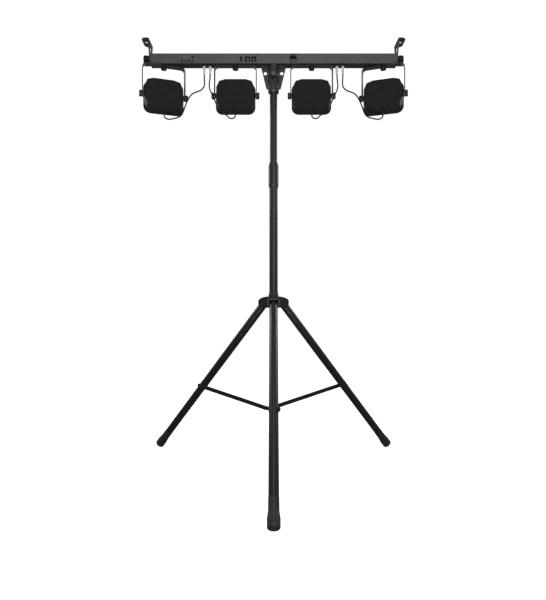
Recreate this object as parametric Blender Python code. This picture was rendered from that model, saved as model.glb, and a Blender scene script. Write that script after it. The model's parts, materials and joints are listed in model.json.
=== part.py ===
"""A four-lamp stage light bar on a folding tripod stand with a two-section mast.

Metres, +Z up. +X runs along the bar, the lamps shine towards +Y and the sockets face -Y.
The origin is on the floor, under the middle of the whole object's box.
"""

import math

import bmesh
import bpy
from mathutils import Matrix, Vector

GAP = 0.0003              # between pieces that touch
MAST_Y = 0.1459           # the mast stands behind the box's middle, because one leg points forward

# Mast and its clamps
OUTER_R = 0.0161
OUTER_WALL = 0.0015
OUTER_LOW = 0.208
OUTER_HIGH = 1.135
INNER_R = 0.01405
INNER_WALL = 0.0014
INNER_LOW = 0.560
INNER_HIGH = 1.545
COLLAR_LOW = 1.0907
COLLAR_HIGH = 1.1866
COLLAR_R = 0.0190

# Tripod
LEG_AZIMUTHS = {"front": -90, "right": 30, "left": 150}
PIVOT_R = 0.045
PIVOT_Z = 0.6352
LEG_TILT = math.radians(41.1)         # from the vertical
LEG_R = 0.0154
LEG_WALL = 0.0013
LEG_TOP = 0.012                       # the tube runs this far past its pivot
LEG_LONG = 0.811                      # from the pivot to the tube's lower end
BRACE_ON_LEG = 0.4545                  # from the leg's pivot to the brace's
HUB_R = 0.0214
HUB_LOW = 0.6223
HUB_HIGH = 0.6853
EAR_T = 0.0032
EAR_REACH = 0.0555
PIN_R = 0.0040
PIN_FIT = 0.0003
BRACE_COLLAR_Z = 0.2320
BRACE_PIVOT_R = 0.030
BRACE_TILT = math.radians(79.05)      # from the vertical
BRACE_LONG = 0.3196
BRACE_WIDE = 0.0155
BRACE_T = 0.0032
BRACE_SIDE = 0.0190                   # the brace's middle, to one side of the leg's middle
FOOT_R = 0.0187
FOOT_ROUND = 0.006
FOOT_SLEEVE = 0.070

# Light bar
BAR_LOW = 1.5680
BAR_HIGH = 1.6075
BAR_HALF = 0.4800
BAR_DEEP = 0.0203                     # half the bar's depth
BAR_WALL = 0.0020
BAR_MID = (BAR_LOW + BAR_HIGH) / 2
SOCKET_R = 0.0212
SOCKET_LOW = 1.4615
GUSSET_T = 0.004
GUSSET_HOLE_X = 0.0321
GUSSET_HOLE_Z = 1.5378
GUSSET_HOLE_R = 0.0066
SOCKET_KNOB_Z = 1.5200
BRACKET_T = 0.0030
BRACKET_TOP = 1.6610
BRACKET_HALF = 0.0355
BRACKET_FOOT = 0.0155
FLANGE_OUT = 0.0285
END_KNOB_R = 0.0190
PANEL_T = 0.0020
BUTTON_X = (-0.3552, -0.3409, -0.3270, -0.3133)
BUTTON_Z = 1.5776
BUTTON_R = 0.0030
BUTTON_FIT = 0.0003
ENTRY_X = (0.2481, 0.2710)
GLAND_LOW = 1.5352

# Lamps
LAMP_X = (-0.4293, -0.1489, 0.1489, 0.4293)
LAMP_YAW = (18, 0, 0, -18)
LAMP_TILT = -13
TILT_Z = 1.4507
YOKE_HALF = 0.0830
YOKE_T = 0.0030
YOKE_WIDE = 0.0270
YOKE_BEND = 0.0170
YOKE_TOP = BAR_LOW - GAP
SHELL_BACK = -0.0220
SHELL_FRONT = 0.0120
BEZEL_FRONT = 0.0240
SHELL_WALL = 0.0030
GLAND_Z = -0.0625                     # where a lamp's cable gland starts, under its shell
GLAND_LONG = 0.0190
CABLE_R = 0.0025

LOOKS = {
    "satin_black_paint": ((0.028, 0.028, 0.030), 0.38, 0.0),
    "grey_bar_paint": ((0.085, 0.086, 0.088), 0.45, 0.0),
    "black_plastic": ((0.012, 0.012, 0.013), 0.50, 0.0),
    "black_rubber": ((0.015, 0.015, 0.016), 0.75, 0.0),
    "lamp_paint": ((0.014, 0.014, 0.015), 0.55, 0.0),
    "lens_plastic": ((0.060, 0.062, 0.068), 0.12, 0.0),
    "pale_plastic": ((0.620, 0.620, 0.600), 0.40, 0.0),
    "button_plastic": ((0.030, 0.030, 0.032), 0.45, 0.0),
}


def clear_scene():
    for obj in list(bpy.data.objects):
        bpy.data.objects.remove(obj, do_unlink=True)


def look(name):
    found = bpy.data.materials.get(name)
    if found:
        return found
    colour, roughness, metallic = LOOKS[name]
    made = bpy.data.materials.new(name)
    made.use_nodes = True
    shader = made.node_tree.nodes["Principled BSDF"]
    shader.inputs["Base Color"].default_value = (*colour, 1.0)
    shader.inputs["Roughness"].default_value = roughness
    shader.inputs["Metallic"].default_value = metallic
    made.diffuse_color = (*colour, 1.0)
    return made


# ---- shapes, each returned as a bmesh ----


def turned(profile, steps=20):
    """A section of (radius, height) points turned about Z. One that starts off the axis is closed to a ring."""
    bm = bmesh.new()
    verts = [bm.verts.new((radius, 0, height)) for radius, height in profile]
    edges = [bm.edges.new(pair) for pair in zip(verts, verts[1:])]
    if profile[0][0] > 0:
        edges.append(bm.edges.new((verts[-1], verts[0])))
    bmesh.ops.spin(
        bm, geom=verts + edges, cent=(0, 0, 0), axis=(0, 0, 1),
        angle=math.tau, steps=steps, use_merge=True,
    )
    bmesh.ops.remove_doubles(bm, verts=bm.verts, dist=1e-6)
    bmesh.ops.recalc_face_normals(bm, faces=bm.faces)
    return bm


def rod(radius, low, high, steps=12):
    return turned([(0, low), (radius, low), (radius, high), (0, high)], steps)


def pipe(outer, inner, low, high, steps=20):
    return turned([(inner, low), (outer, low), (outer, high), (inner, high)], steps)


def slab(outline, low, high, along="Z"):
    """A flat outline, extruded from low to high along an axis. Outlines are (x, y), (x, z) or (y, z)."""
    place = {
        "Z": lambda a, b: (a, b, low),
        "Y": lambda a, b: (a, low, b),
        "X": lambda a, b: (low, a, b),
    }[along]
    step = Vector([(high - low) * (along == axis) for axis in "XYZ"])
    bm = bmesh.new()
    face = bm.faces.new([bm.verts.new(place(a, b)) for a, b in outline])
    grown = bmesh.ops.extrude_face_region(bm, geom=[face])["geom"]
    moved = [v for v in grown if isinstance(v, bmesh.types.BMVert)]
    bmesh.ops.translate(bm, verts=moved, vec=step)
    bmesh.ops.recalc_face_normals(bm, faces=bm.faces)
    return bm


def block(x, y, z):
    """A box from three (low, high) pairs."""
    return slab([(x[0], y[0]), (x[1], y[0]), (x[1], y[1]), (x[0], y[1])], *z)


def arc(centre, radius, start, end, steps):
    """Points round a circle, both ends included. Angles are in degrees."""
    return [
        (
            centre[0] + radius * math.cos(math.radians(start + (end - start) * i / steps)),
            centre[1] + radius * math.sin(math.radians(start + (end - start) * i / steps)),
        )
        for i in range(steps + 1)
    ]


def rounded_box(half_a, half_b, radius, steps=4, centre=(0, 0)):
    """A rectangle's outline with round corners."""
    a, b = half_a - radius, half_b - radius
    corners = ((a, b, 0), (-a, b, 90), (-a, -b, 180), (a, -b, 270))
    return [
        point
        for x, y, turn in corners
        for point in arc((centre[0] + x, centre[1] + y), radius, turn, turn + 90, steps)
    ]


def aimed(bm, direction, origin=(0, 0, 0)):
    """Turns a shape's +Z to a direction and moves it to a place."""
    turn = Vector((0, 0, 1)).rotation_difference(Vector(direction)).to_matrix().to_4x4()
    bm.transform(Matrix.Translation(origin) @ turn)
    return bm


def together(shapes):
    """Several shapes that don't touch, in one bmesh, for use as one guide."""
    whole = bmesh.new()
    for shape in shapes:
        mesh = bpy.data.meshes.new("part_of_guide")
        shape.to_mesh(mesh)
        shape.free()
        whole.from_mesh(mesh)
        bpy.data.meshes.remove(mesh)
    return whole


# ---- objects ----


def frame(name, parent=None, place=(0, 0, 0), turn=(0, 0, 0)):
    """An empty that carries a moving body, on its joint's axis. Its turn is in radians."""
    empty = bpy.data.objects.new(name, None)
    empty.empty_display_size = 0.03
    bpy.context.collection.objects.link(empty)
    empty.parent = parent
    empty.location = place
    empty.rotation_euler = turn
    return empty


def solid(name, shape, finish, parent, adds=(), cuts=()):
    """A named part. Shapes in adds are welded on, then shapes in cuts are taken away."""
    mesh = bpy.data.meshes.new(name)
    shape.to_mesh(mesh)
    shape.free()
    mesh.materials.append(look(finish))
    part = bpy.data.objects.new(name, mesh)
    bpy.context.collection.objects.link(part)
    part.parent = parent
    for operation, guides in (("UNION", adds), ("DIFFERENCE", cuts)):
        for number, guide_shape in enumerate(guides):
            guide_name = f"{name}_{operation.lower()}_{number}"
            guide_mesh = bpy.data.meshes.new(guide_name)
            guide_shape.to_mesh(guide_mesh)
            guide_shape.free()
            guide = bpy.data.objects.new(guide_name, guide_mesh)
            bpy.context.collection.objects.link(guide)
            guide.parent = parent
            guide.hide_render = True
            guide.display_type = "WIRE"
            boolean = part.modifiers.new(guide_name, "BOOLEAN")
            boolean.operation = operation
            boolean.solver = "EXACT"
            boolean.object = guide
    mesh.shade_smooth()
    mesh.set_sharp_from_angle(angle=math.radians(35))
    return part


def clamp_knob(name, parent, radius, thick, stem, gap=GAP):
    """A round clamp knob on its own Z axis: its back at the frame's origin, its stem running to -Z."""
    edge = 0.0015
    profile = [
        (0, -stem), (PIN_R - 0.0003, -stem), (PIN_R - 0.0003, gap),
        (radius - edge, gap), (radius, gap + edge),
        (radius, thick - edge), (radius - edge, thick), (0, thick),
    ]
    return solid(name, turned(profile, 16), "black_plastic", parent)


def make_mast(root):
    solid(
        "mast_outer_tube",
        pipe(OUTER_R, OUTER_R - OUTER_WALL, OUTER_LOW, OUTER_HIGH),
        "satin_black_paint", root,
    )
    knob_z = 1.158
    sleeve = [
        (INNER_R + GAP, OUTER_HIGH + GAP), (OUTER_R + GAP, OUTER_HIGH + GAP),
        (OUTER_R + GAP, COLLAR_LOW), (OUTER_R + 0.0012, COLLAR_LOW),
        (COLLAR_R, COLLAR_LOW + 0.007), (COLLAR_R, COLLAR_HIGH - 0.014),
        (INNER_R + 0.0022, COLLAR_HIGH), (INNER_R + GAP, COLLAR_HIGH),
    ]
    solid(
        "mast_collar", turned(sleeve), "satin_black_paint", root,
        adds=[aimed(rod(0.0080, 0.0160, 0.0260), (0, 1, 0), (0, 0, knob_z))],
        cuts=[aimed(rod(PIN_R, 0.0100, 0.0300), (0, 1, 0), (0, 0, knob_z))],
    )
    knob = frame("collar_knob_axis", root, (0, 0.0260, knob_z), (math.radians(-90), 0, 0))
    clamp_knob("collar_knob", knob, 0.0150, 0.0140, 0.0108)
    inner = frame("mast_inner", root)
    solid(
        "mast_inner_tube",
        pipe(INNER_R, INNER_R - INNER_WALL, INNER_LOW, INNER_HIGH),
        "satin_black_paint", inner,
    )
    return inner


def make_brace_collar(root):
    """The sleeve fixed round the foot of the mast, with a lug and a pin for each brace."""
    low, high = BRACE_COLLAR_Z - 0.021, BRACE_COLLAR_Z + 0.017
    body = [
        (0, low), (0.0185, low), (0.0195, low + 0.001),
        (0.0195, high - 0.001), (0.0185, high), (0, high),
    ]
    inner_face = BRACE_SIDE - BRACE_T / 2 - GAP
    lugs = []
    for azimuth in LEG_AZIMUTHS.values():
        outline = [(0.004, -0.0075)] + arc((BRACE_PIVOT_R, 0), 0.0075, -90, 90, 6) + [(0.004, 0.0075)]
        lug = slab(outline, inner_face - EAR_T, inner_face, "Y")
        pin = aimed(rod(PIN_R, inner_face - 0.001, 0.0225), (0, 1, 0), (BRACE_PIVOT_R, 0, 0))
        head = aimed(rod(0.0062, 0.0211, 0.0232), (0, 1, 0), (BRACE_PIVOT_R, 0, 0))
        place = Matrix.Translation((0, 0, BRACE_COLLAR_Z)) @ Matrix.Rotation(math.radians(azimuth), 4, "Z")
        for shape in (lug, pin, head):
            shape.transform(place)
            lugs.append(shape)
    bore = rod(OUTER_R + GAP, low - 0.01, high + 0.01, 20)
    solid("brace_collar", turned(body), "satin_black_paint", root, adds=lugs, cuts=[bore])


def make_hub(root):
    hub = frame("leg_hub_slide", root)
    ring = [
        (0, HUB_LOW), (HUB_R, HUB_LOW), (HUB_R, 0.6697),
        (0.0168, HUB_HIGH), (0, HUB_HIGH),
    ]
    ear_side = LEG_R + 0.0006
    low, high = HUB_LOW - GAP, 0.6637
    outline = [
        (0.012, low), (EAR_REACH - 0.008, low), (EAR_REACH, low + 0.008),
        (EAR_REACH, high - 0.012), (EAR_REACH - 0.010, high - 0.0045),
        (0.0300, high + 0.0015), (0.012, high + 0.0030),
    ]
    reach = ear_side + EAR_T + 0.0022
    turns = [Matrix.Rotation(math.radians(azimuth), 4, "Z") for azimuth in LEG_AZIMUTHS.values()]
    ears_left, ears_right, pins = [], [], []
    for turn in turns:
        for ears, near in ((ears_left, ear_side), (ears_right, -ear_side - EAR_T)):
            ear = slab(outline, near, near + EAR_T, "Y")
            ear.transform(turn)
            ears.append(ear)
        pin = aimed(rod(PIN_R, -reach, reach), (0, 1, 0), (PIVOT_R, 0, PIVOT_Z))
        pin.transform(turn)
        pins.append(pin)
    knob_z = 0.6450
    boss = aimed(rod(0.0085, 0.0190, 0.0300), (0, 1, 0), (0, 0, knob_z))
    stem_hole = aimed(rod(PIN_R, 0.0120, 0.0340), (0, 1, 0), (0, 0, knob_z))
    bore = rod(OUTER_R + GAP, HUB_LOW - 0.01, HUB_HIGH + 0.01, 20)
    solid(
        "leg_hub", turned(ring), "satin_black_paint", hub,
        adds=[together(ears_left), together(ears_right), together(pins), boss],
        cuts=[bore, stem_hole],
    )
    knob = frame("hub_knob_axis", hub, (0, 0.0300, knob_z), (math.radians(-90), 0, 0))
    clamp_knob("hub_knob", knob, 0.0150, 0.0140, 0.0130)
    return hub


def make_leg(hub, side, azimuth):
    """One leg with its foot. The leg's frame has its origin on the pivot and the tube along -Z."""
    turn = math.radians(azimuth)
    place = (PIVOT_R * math.cos(turn), PIVOT_R * math.sin(turn), PIVOT_Z)
    leg = frame(f"leg_{side}_pivot", hub, place, (0, -LEG_TILT, turn))
    tube = [
        (0, LEG_TOP), (LEG_R - 0.002, LEG_TOP), (LEG_R, LEG_TOP - 0.002), (LEG_R, -LEG_LONG),
        (LEG_R - LEG_WALL, -LEG_LONG), (LEG_R - LEG_WALL, LEG_TOP - 0.003), (0, LEG_TOP - 0.003),
    ]
    boss_end = BRACE_SIDE - BRACE_T / 2 - 0.0006
    boss = aimed(rod(0.0068, 0.0142, boss_end), (0, 1, 0), (0, 0, -BRACE_ON_LEG))
    bore = aimed(rod(PIN_R + PIN_FIT, -0.02, 0.02), (0, 1, 0))
    solid(f"leg_{side}", turned(tube), "satin_black_paint", leg, adds=[boss], cuts=[bore])

    inner = LEG_R + GAP
    end = LEG_LONG + 0.0215
    flare = LEG_R + 0.0012
    foot = [
        (0, -LEG_LONG - GAP), (inner, -LEG_LONG - GAP), (inner, -LEG_LONG + FOOT_SLEEVE),
        (flare, -LEG_LONG + FOOT_SLEEVE), (FOOT_R, -LEG_LONG + 0.012),
    ]
    rim = (FOOT_R - FOOT_ROUND, -end + FOOT_ROUND)
    foot += arc(rim, FOOT_ROUND, 0, -90, 4)
    foot.append((0, -end))
    # The floor, seen from the leg's own frame, trims the foot to a flat patch.
    floor_cut = block((-0.06, 0.06), (-0.06, 0.06), (-0.05, 0.0))
    drop = PIVOT_Z / math.cos(LEG_TILT)
    floor_cut.transform(Matrix.Translation((0, 0, -drop)) @ Matrix.Rotation(LEG_TILT, 4, "Y"))
    solid(f"foot_{side}", turned(foot), "black_rubber", leg, cuts=[floor_cut])


def make_brace(root, side, azimuth):
    """A flat strap from the lower collar to the leg, running up its frame's Z axis."""
    turn = math.radians(azimuth)
    place = (BRACE_PIVOT_R * math.cos(turn), BRACE_PIVOT_R * math.sin(turn), BRACE_COLLAR_Z)
    brace = frame(f"brace_{side}_pivot", root, place, (0, BRACE_TILT, turn))
    half = BRACE_WIDE / 2
    outline = arc((0, 0), half, 180, 360, 8) + arc((0, BRACE_LONG), half, 0, 180, 8)
    near, far = BRACE_SIDE - BRACE_T / 2, BRACE_SIDE + BRACE_T / 2
    rivet = aimed(rod(0.0060, BRACE_SIDE, far + 0.0022), (0, 1, 0), (0, 0, BRACE_LONG))
    hole = aimed(rod(PIN_R + PIN_FIT, 0.01, 0.03), (0, 1, 0))
    solid(
        f"brace_{side}", slab(outline, near, far, "Y"), "satin_black_paint", brace,
        adds=[rivet], cuts=[hole],
    )


def make_socket(bar):
    top = BAR_LOW - GAP
    tube = rod(SOCKET_R, SOCKET_LOW, top, 20)
    gusset = slab(
        [(-0.0278, 1.4763), (0.0278, 1.4763), (0.0500, top - 0.0002), (-0.0500, top - 0.0002)],
        -GUSSET_T / 2, GUSSET_T / 2, "Y",
    )
    holes = [
        aimed(rod(GUSSET_HOLE_R, -0.02, 0.02), (0, 1, 0), (side * GUSSET_HOLE_X, 0, GUSSET_HOLE_Z))
        for side in (-1, 1)
    ]
    bore = rod(INNER_R + GAP, SOCKET_LOW - 0.01, top - 0.0045, 20)
    stem_hole = aimed(rod(PIN_R, 0.012, 0.03), (0, -1, 0), (0, 0, SOCKET_KNOB_Z))
    solid(
        "mast_socket", tube, "satin_black_paint", bar,
        adds=[gusset], cuts=[bore, *holes, stem_hole],
    )
    knob = frame("socket_knob_axis", bar, (0, -SOCKET_R, SOCKET_KNOB_Z), (math.radians(90), 0, 0))
    clamp_knob("socket_knob", knob, 0.0118, 0.0230, 0.0060, gap=0.0014)


def make_bar(bar):
    box = block((-BAR_HALF, BAR_HALF), (-BAR_DEEP, BAR_DEEP), (BAR_LOW, BAR_HIGH))
    bmesh.ops.bevel(box, geom=box.edges, offset=0.0010, segments=1, affect="EDGES")
    hollow = block(
        (-BAR_HALF + BAR_WALL, BAR_HALF - BAR_WALL), (-BAR_DEEP + BAR_WALL, BAR_DEEP - BAR_WALL),
        (BAR_LOW + BAR_WALL, BAR_HIGH - BAR_WALL),
    )
    control = block((-0.3740, -0.2860), (-BAR_DEEP - 0.01, -BAR_DEEP + 0.005), (1.5710, 1.6030))
    power = block((-0.1400, -0.0620), (-BAR_DEEP - 0.01, -BAR_DEEP + 0.005), (1.5710, 1.6000))
    signal = aimed(rod(0.0126, 0.01, 0.03, 24), (0, -1, 0), (0.0765, 0, 1.5885))
    ends = aimed(rod(PIN_R + GAP, -0.5, 0.5), (1, 0, 0), (0, 0, BAR_MID))
    stems = [rod(PIN_R + GAP, BAR_LOW - 0.01, BAR_LOW + 0.01) for x in LAMP_X]
    for stem, x in zip(stems, LAMP_X):
        bmesh.ops.translate(stem, verts=stem.verts, vec=(x, 0, 0))
    solid(
        "bar_housing", box, "grey_bar_paint", bar,
        cuts=[hollow, control, power, signal, ends, together(stems)],
    )


def make_control_panel(bar):
    """A thin plate set in the bar's back face, with four menu buttons that press in."""
    front, back = -BAR_DEEP - 0.0006, -BAR_DEEP - 0.0006 + PANEL_T
    plate = block((-0.3737, -0.2863), (front, back), (1.5713, 1.6027))
    holes = [
        aimed(rod(BUTTON_R + BUTTON_FIT, 0.010, 0.030), (0, -1, 0), (x, 0, BUTTON_Z))
        for x in BUTTON_X
    ]
    window = block((-0.3495, -0.3215), (front - 0.01, front + 0.0008), (1.5875, 1.5985))
    microphone = aimed(rod(0.0034, BAR_DEEP, 0.030), (0, -1, 0), (-0.3122, 0, 1.5925))
    solid(
        "control_panel", plate, "grey_bar_paint", bar,
        cuts=[together(holes), window, microphone],
    )
    for number, x in enumerate(BUTTON_X, 1):
        button = frame(f"menu_button_{number}_axis", bar, (x, back, BUTTON_Z), (math.radians(90), 0, 0))
        rise = PANEL_T + 0.0014
        profile = [
            (0, -0.0020), (0.0043, -0.0020), (0.0043, -GAP), (BUTTON_R, -GAP),
            (BUTTON_R, rise - 0.0006), (BUTTON_R - 0.0006, rise), (0, rise),
        ]
        solid(f"menu_button_{number}", turned(profile, 12), "button_plastic", button)


def make_power_panel(bar):
    """A block with a small slot and two square mains sockets, in the bar's back face."""
    front = -BAR_DEEP - 0.0006
    plate = block((-0.1397, -0.0623), (front, front + 0.0145), (1.5713, 1.5997))
    middle = 1.5855
    deep = front + 0.0125
    pockets = [(-0.1297, -0.1213), (-0.1104, -0.0904), (-0.0860, -0.0670)]
    cuts = [
        block(pocket, (front - 0.01, deep), (middle - 0.0100, middle + 0.0100))
        for pocket in pockets
    ]
    solid("power_panel", plate, "black_plastic", bar, cuts=[together(cuts)])


def make_signal_socket(bar):
    """A round data socket with a square-cornered flange on the bar's face."""
    place = (0.0765, 0, 1.5885)
    cup = aimed(
        turned([
            (0, 0.0085), (0.0122, 0.0085), (0.0122, 0.0215),
            (0.0095, 0.0215), (0.0095, 0.0105), (0, 0.0105),
        ], 24),
        (0, -1, 0), place,
    )
    flange = slab(
        rounded_box(0.0130, 0.0150, 0.003, 2, (place[0], place[2])),
        -BAR_DEEP - GAP - 0.0016, -BAR_DEEP - GAP, "Y",
    )
    opening = aimed(rod(0.0095, 0.0105, 0.03, 24), (0, -1, 0), place)
    solid("signal_socket", cup, "black_plastic", bar, adds=[flange], cuts=[opening])


def make_bracket(bar, side, name):
    """A hanging bracket on the bar's end: a tapered strap that swings on the end knob, and a flange on top."""
    swing = frame(f"bracket_{name}_axis", bar, (0, 0, BAR_MID))
    near = side * (BAR_HALF + GAP)
    far = near + side * BRACKET_T
    low, high = sorted((near, far))
    top = BRACKET_TOP - BAR_MID
    strap = [(BRACKET_HALF, top), (-BRACKET_HALF, top)]
    strap += [(-BRACKET_HALF, top - 0.004)]
    strap += arc((0, 0), BRACKET_FOOT, 180, 360, 10)
    strap += [(BRACKET_HALF, top - 0.004)]
    window = slab(
        [(-0.0055, 0.0290), (0.0055, 0.0290), (0.0125, 0.0510), (-0.0125, 0.0510)],
        low - 0.01, high + 0.01, "X",
    )
    out = near + side * FLANGE_OUT
    corner = 0.010
    x0, x1 = (near, out) if side > 0 else (out, near)
    flange = slab(
        [(near, BRACKET_HALF), (near, -BRACKET_HALF), (out - side * corner, -BRACKET_HALF)]
        + [(out, -BRACKET_HALF + corner), (out, BRACKET_HALF - corner), (out - side * corner, BRACKET_HALF)],
        top - BRACKET_T, top + 0.0002, "Z",
    )
    hole = rod(0.0056, top - 0.02, top + 0.02)
    bmesh.ops.translate(hole, verts=hole.verts, vec=(side * 0.4970, 0, 0))
    pivot = aimed(rod(PIN_R + GAP, -0.6, 0.6), (1, 0, 0))
    solid(
        f"bracket_{name}", slab(strap, low, high, "X"), "satin_black_paint", swing,
        adds=[flange], cuts=[window, hole, pivot],
    )
    knob = frame(
        f"bracket_knob_{name}_axis", bar, (far, 0, BAR_MID), (0, side * math.radians(90), 0)
    )
    clamp_knob(f"bracket_knob_{name}", knob, END_KNOB_R, 0.0215, 0.0110)


def make_cable_entry(bar, side, name):
    """A small plate under the bar with the strain reliefs of two lamp cables."""
    under = BAR_LOW - GAP
    middle = side * sum(ENTRY_X) / 2
    plate = slab(rounded_box(0.0200, 0.0085, 0.003, 3, (middle, 0)), under - 0.0022, under)
    reliefs = []
    for x in ENTRY_X:
        profile = [
            (0, under - 0.001), (0.0068, under - 0.001), (0.0068, under - 0.006),
            (0.0056, under - 0.008), (0.0044, GLAND_LOW), (0, GLAND_LOW),
        ]
        relief = turned(profile, 12)
        bmesh.ops.translate(relief, verts=relief.verts, vec=(side * x, 0, 0))
        reliefs.append(relief)
    solid(f"cable_entry_{name}", plate, "pale_plastic", bar, adds=reliefs)


def make_yoke(pan, number):
    """The U-shaped strap that a lamp tilts in, hung from the bar by its own knob."""
    top = YOKE_TOP - BAR_LOW
    foot = TILT_Z - BAR_LOW - YOKE_WIDE / 2
    inside = YOKE_HALF - YOKE_T
    bend_in = YOKE_BEND - YOKE_T
    outline = [(-YOKE_HALF, foot)]
    outline += arc((-YOKE_HALF + YOKE_BEND, top - YOKE_BEND), YOKE_BEND, 180, 90, 4)
    outline += arc((YOKE_HALF - YOKE_BEND, top - YOKE_BEND), YOKE_BEND, 90, 0, 4)
    outline += [(YOKE_HALF, foot), (inside, foot)]
    outline += arc((inside - bend_in, top - YOKE_T - bend_in), bend_in, 0, 90, 4)
    outline += arc((-inside + bend_in, top - YOKE_T - bend_in), bend_in, 90, 180, 4)
    outline += [(-inside, foot)]
    strap = slab(outline, -YOKE_WIDE / 2, YOKE_WIDE / 2, "Y")
    corners = [
        edge for edge in strap.edges
        if all(abs(v.co.z - foot) < 1e-6 for v in edge.verts)
        and abs(edge.verts[0].co.y - edge.verts[1].co.y) < 1e-6
    ]
    bmesh.ops.bevel(
        strap, geom=corners, offset=YOKE_WIDE * 0.42, segments=4, profile=0.5, affect="EDGES"
    )
    axle = aimed(rod(PIN_R + GAP, -0.12, 0.12), (1, 0, 0), (0, 0, TILT_Z - BAR_LOW))
    hole = rod(PIN_R + GAP, top - 0.02, top + 0.02)
    solid(f"lamp_{number}_yoke", strap, "satin_black_paint", pan, cuts=[axle, hole])
    knob = frame(
        f"lamp_{number}_yoke_knob_axis", pan, (0, 0, top - YOKE_T), (math.radians(180), 0, 0)
    )
    clamp_knob(f"lamp_{number}_yoke_knob", knob, 0.0114, 0.0122, 0.0085)


def shell_outline(half_wide, half_high, cut, facet):
    """A lamp's outline seen from behind: a rectangle with two-facet corners."""
    side = [
        (half_wide - cut, -half_high), (half_wide - facet, facet - half_high),
        (half_wide, cut - half_high), (half_wide, half_high - cut),
        (half_wide - facet, half_high - facet), (half_wide - cut, half_high),
    ]
    return side + [(-x, z) for x, z in reversed(side)]


def bezel_outline(inset):
    """The lens frame's outline: a rounded square whose top corners are rounder than its lower ones."""
    half_wide, half_high = 0.0776 - inset, 0.0685 - inset
    top, low = 0.0340 - inset, 0.0280 - inset
    return (
        arc((half_wide - top, half_high - top), top, 0, 90, 6)
        + arc((top - half_wide, half_high - top), top, 90, 180, 6)
        + arc((low - half_wide, low - half_high), low, 180, 270, 4)
        + arc((half_wide - low, low - half_high), low, 270, 360, 4)
    )


def loft(first, second, y_first, y_second):
    """A solid between two outlines of as many points, in planes across Y."""
    bm = bmesh.new()
    rings = [
        [bm.verts.new((x, y, z)) for x, z in outline]
        for outline, y in ((first, y_first), (second, y_second))
    ]
    count = len(first)
    bm.faces.new(rings[0])
    bm.faces.new(rings[1])
    for i in range(count):
        j = (i + 1) % count
        bm.faces.new((rings[0][i], rings[0][j], rings[1][j], rings[1][i]))
    bmesh.ops.recalc_face_normals(bm, faces=bm.faces)
    return bm


def make_lamp(pan, number):
    tilt = frame(
        f"lamp_{number}_tilt", pan, (0, 0, TILT_Z - BAR_LOW), (math.radians(LAMP_TILT), 0, 0)
    )
    back = shell_outline(0.0735, 0.0600, 0.0340, 0.0100)
    front = shell_outline(0.0765, 0.0665, 0.0300, 0.0090)
    inside_back = shell_outline(0.0735 - SHELL_WALL, 0.0600 - SHELL_WALL, 0.0325, 0.0095)
    inside_front = shell_outline(0.0765 - SHELL_WALL, 0.0665 - SHELL_WALL, 0.0285, 0.0085)
    cavity = loft(inside_back, inside_front, SHELL_BACK + SHELL_WALL, SHELL_FRONT + 0.003)
    boss_end = YOKE_HALF - YOKE_T - GAP
    bosses = [aimed(rod(0.0095, 0.0700, boss_end), (side, 0, 0)) for side in (-1, 1)]
    gland = aimed(
        turned([
            (0, 0), (0.0062, 0), (0.0062, 0.0100), (0.0052, 0.0120), (0.0036, GLAND_LONG),
            (0, GLAND_LONG),
        ], 16),
        (0, 0, -1), (0, 0, GLAND_Z),
    )
    sockets = aimed(rod(PIN_R + GAP, -0.1, 0.1), (1, 0, 0))
    solid(
        f"lamp_{number}_shell", loft(back, front, SHELL_BACK, SHELL_FRONT), "lamp_paint", tilt,
        adds=[*bosses, gland], cuts=[cavity, sockets],
    )
    bezel = slab(bezel_outline(0), SHELL_FRONT + GAP, BEZEL_FRONT, "Y")
    recess = slab(bezel_outline(0.0070), BEZEL_FRONT - 0.004, BEZEL_FRONT + 0.01, "Y")
    solid(f"lamp_{number}_lens", bezel, "lens_plastic", tilt, cuts=[recess])
    for side, name in ((-1, "left"), (1, "right")):
        knob = frame(
            f"lamp_{number}_tilt_knob_{name}_axis", tilt, (side * YOKE_HALF, 0, 0),
            (0, side * math.radians(90), 0),
        )
        clamp_knob(f"lamp_{number}_tilt_knob_{name}", knob, 0.0125, 0.0105, 0.0100)


# Routes of the left-hand lamps' cables, from the bar's strain relief to the lamp's gland,
# measured from the mast's axis. The right-hand ones are their mirror images.
OUTER_ROUTE = [
    (-0.2710, 0.0000, 1.5349), (-0.2706, -0.0005, 1.5172), (-0.2698, -0.0020, 1.4990),
    (-0.2719, -0.0060, 1.4833), (-0.2817, -0.0110, 1.4695), (-0.2965, -0.0150, 1.4612),
    (-0.3120, -0.0180, 1.4533), (-0.3238, -0.0180, 1.4415), (-0.3346, -0.0165, 1.4247),
    (-0.3425, -0.0175, 1.4049), (-0.3483, -0.0240, 1.3828), (-0.3550, -0.0330, 1.3634),
    (-0.3675, -0.0385, 1.3520), (-0.3850, -0.0390, 1.3475), (-0.4005, -0.0340, 1.3470),
    (-0.4130, -0.0265, 1.3520),
]
INNER_ROUTE = [
    (-0.2481, 0.0000, 1.5349), (-0.2490, 0.0005, 1.5205), (-0.2509, 0.0020, 1.5064),
    (-0.2521, 0.0060, 1.4925), (-0.2503, 0.0130, 1.4797), (-0.2437, 0.0220, 1.4668),
    (-0.2365, 0.0290, 1.4520), (-0.2290, 0.0345, 1.4360), (-0.2235, 0.0370, 1.4190),
    (-0.2175, 0.0362, 1.4050), (-0.2085, 0.0335, 1.3955), (-0.1980, 0.0300, 1.3910),
    (-0.1885, 0.0245, 1.3865), (-0.1817, 0.0165, 1.3785), (-0.1767, 0.0060, 1.3695),
    (-0.1717, -0.0045, 1.3625), (-0.1650, -0.0130, 1.3580), (-0.1575, -0.0183, 1.3560),
]


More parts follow.
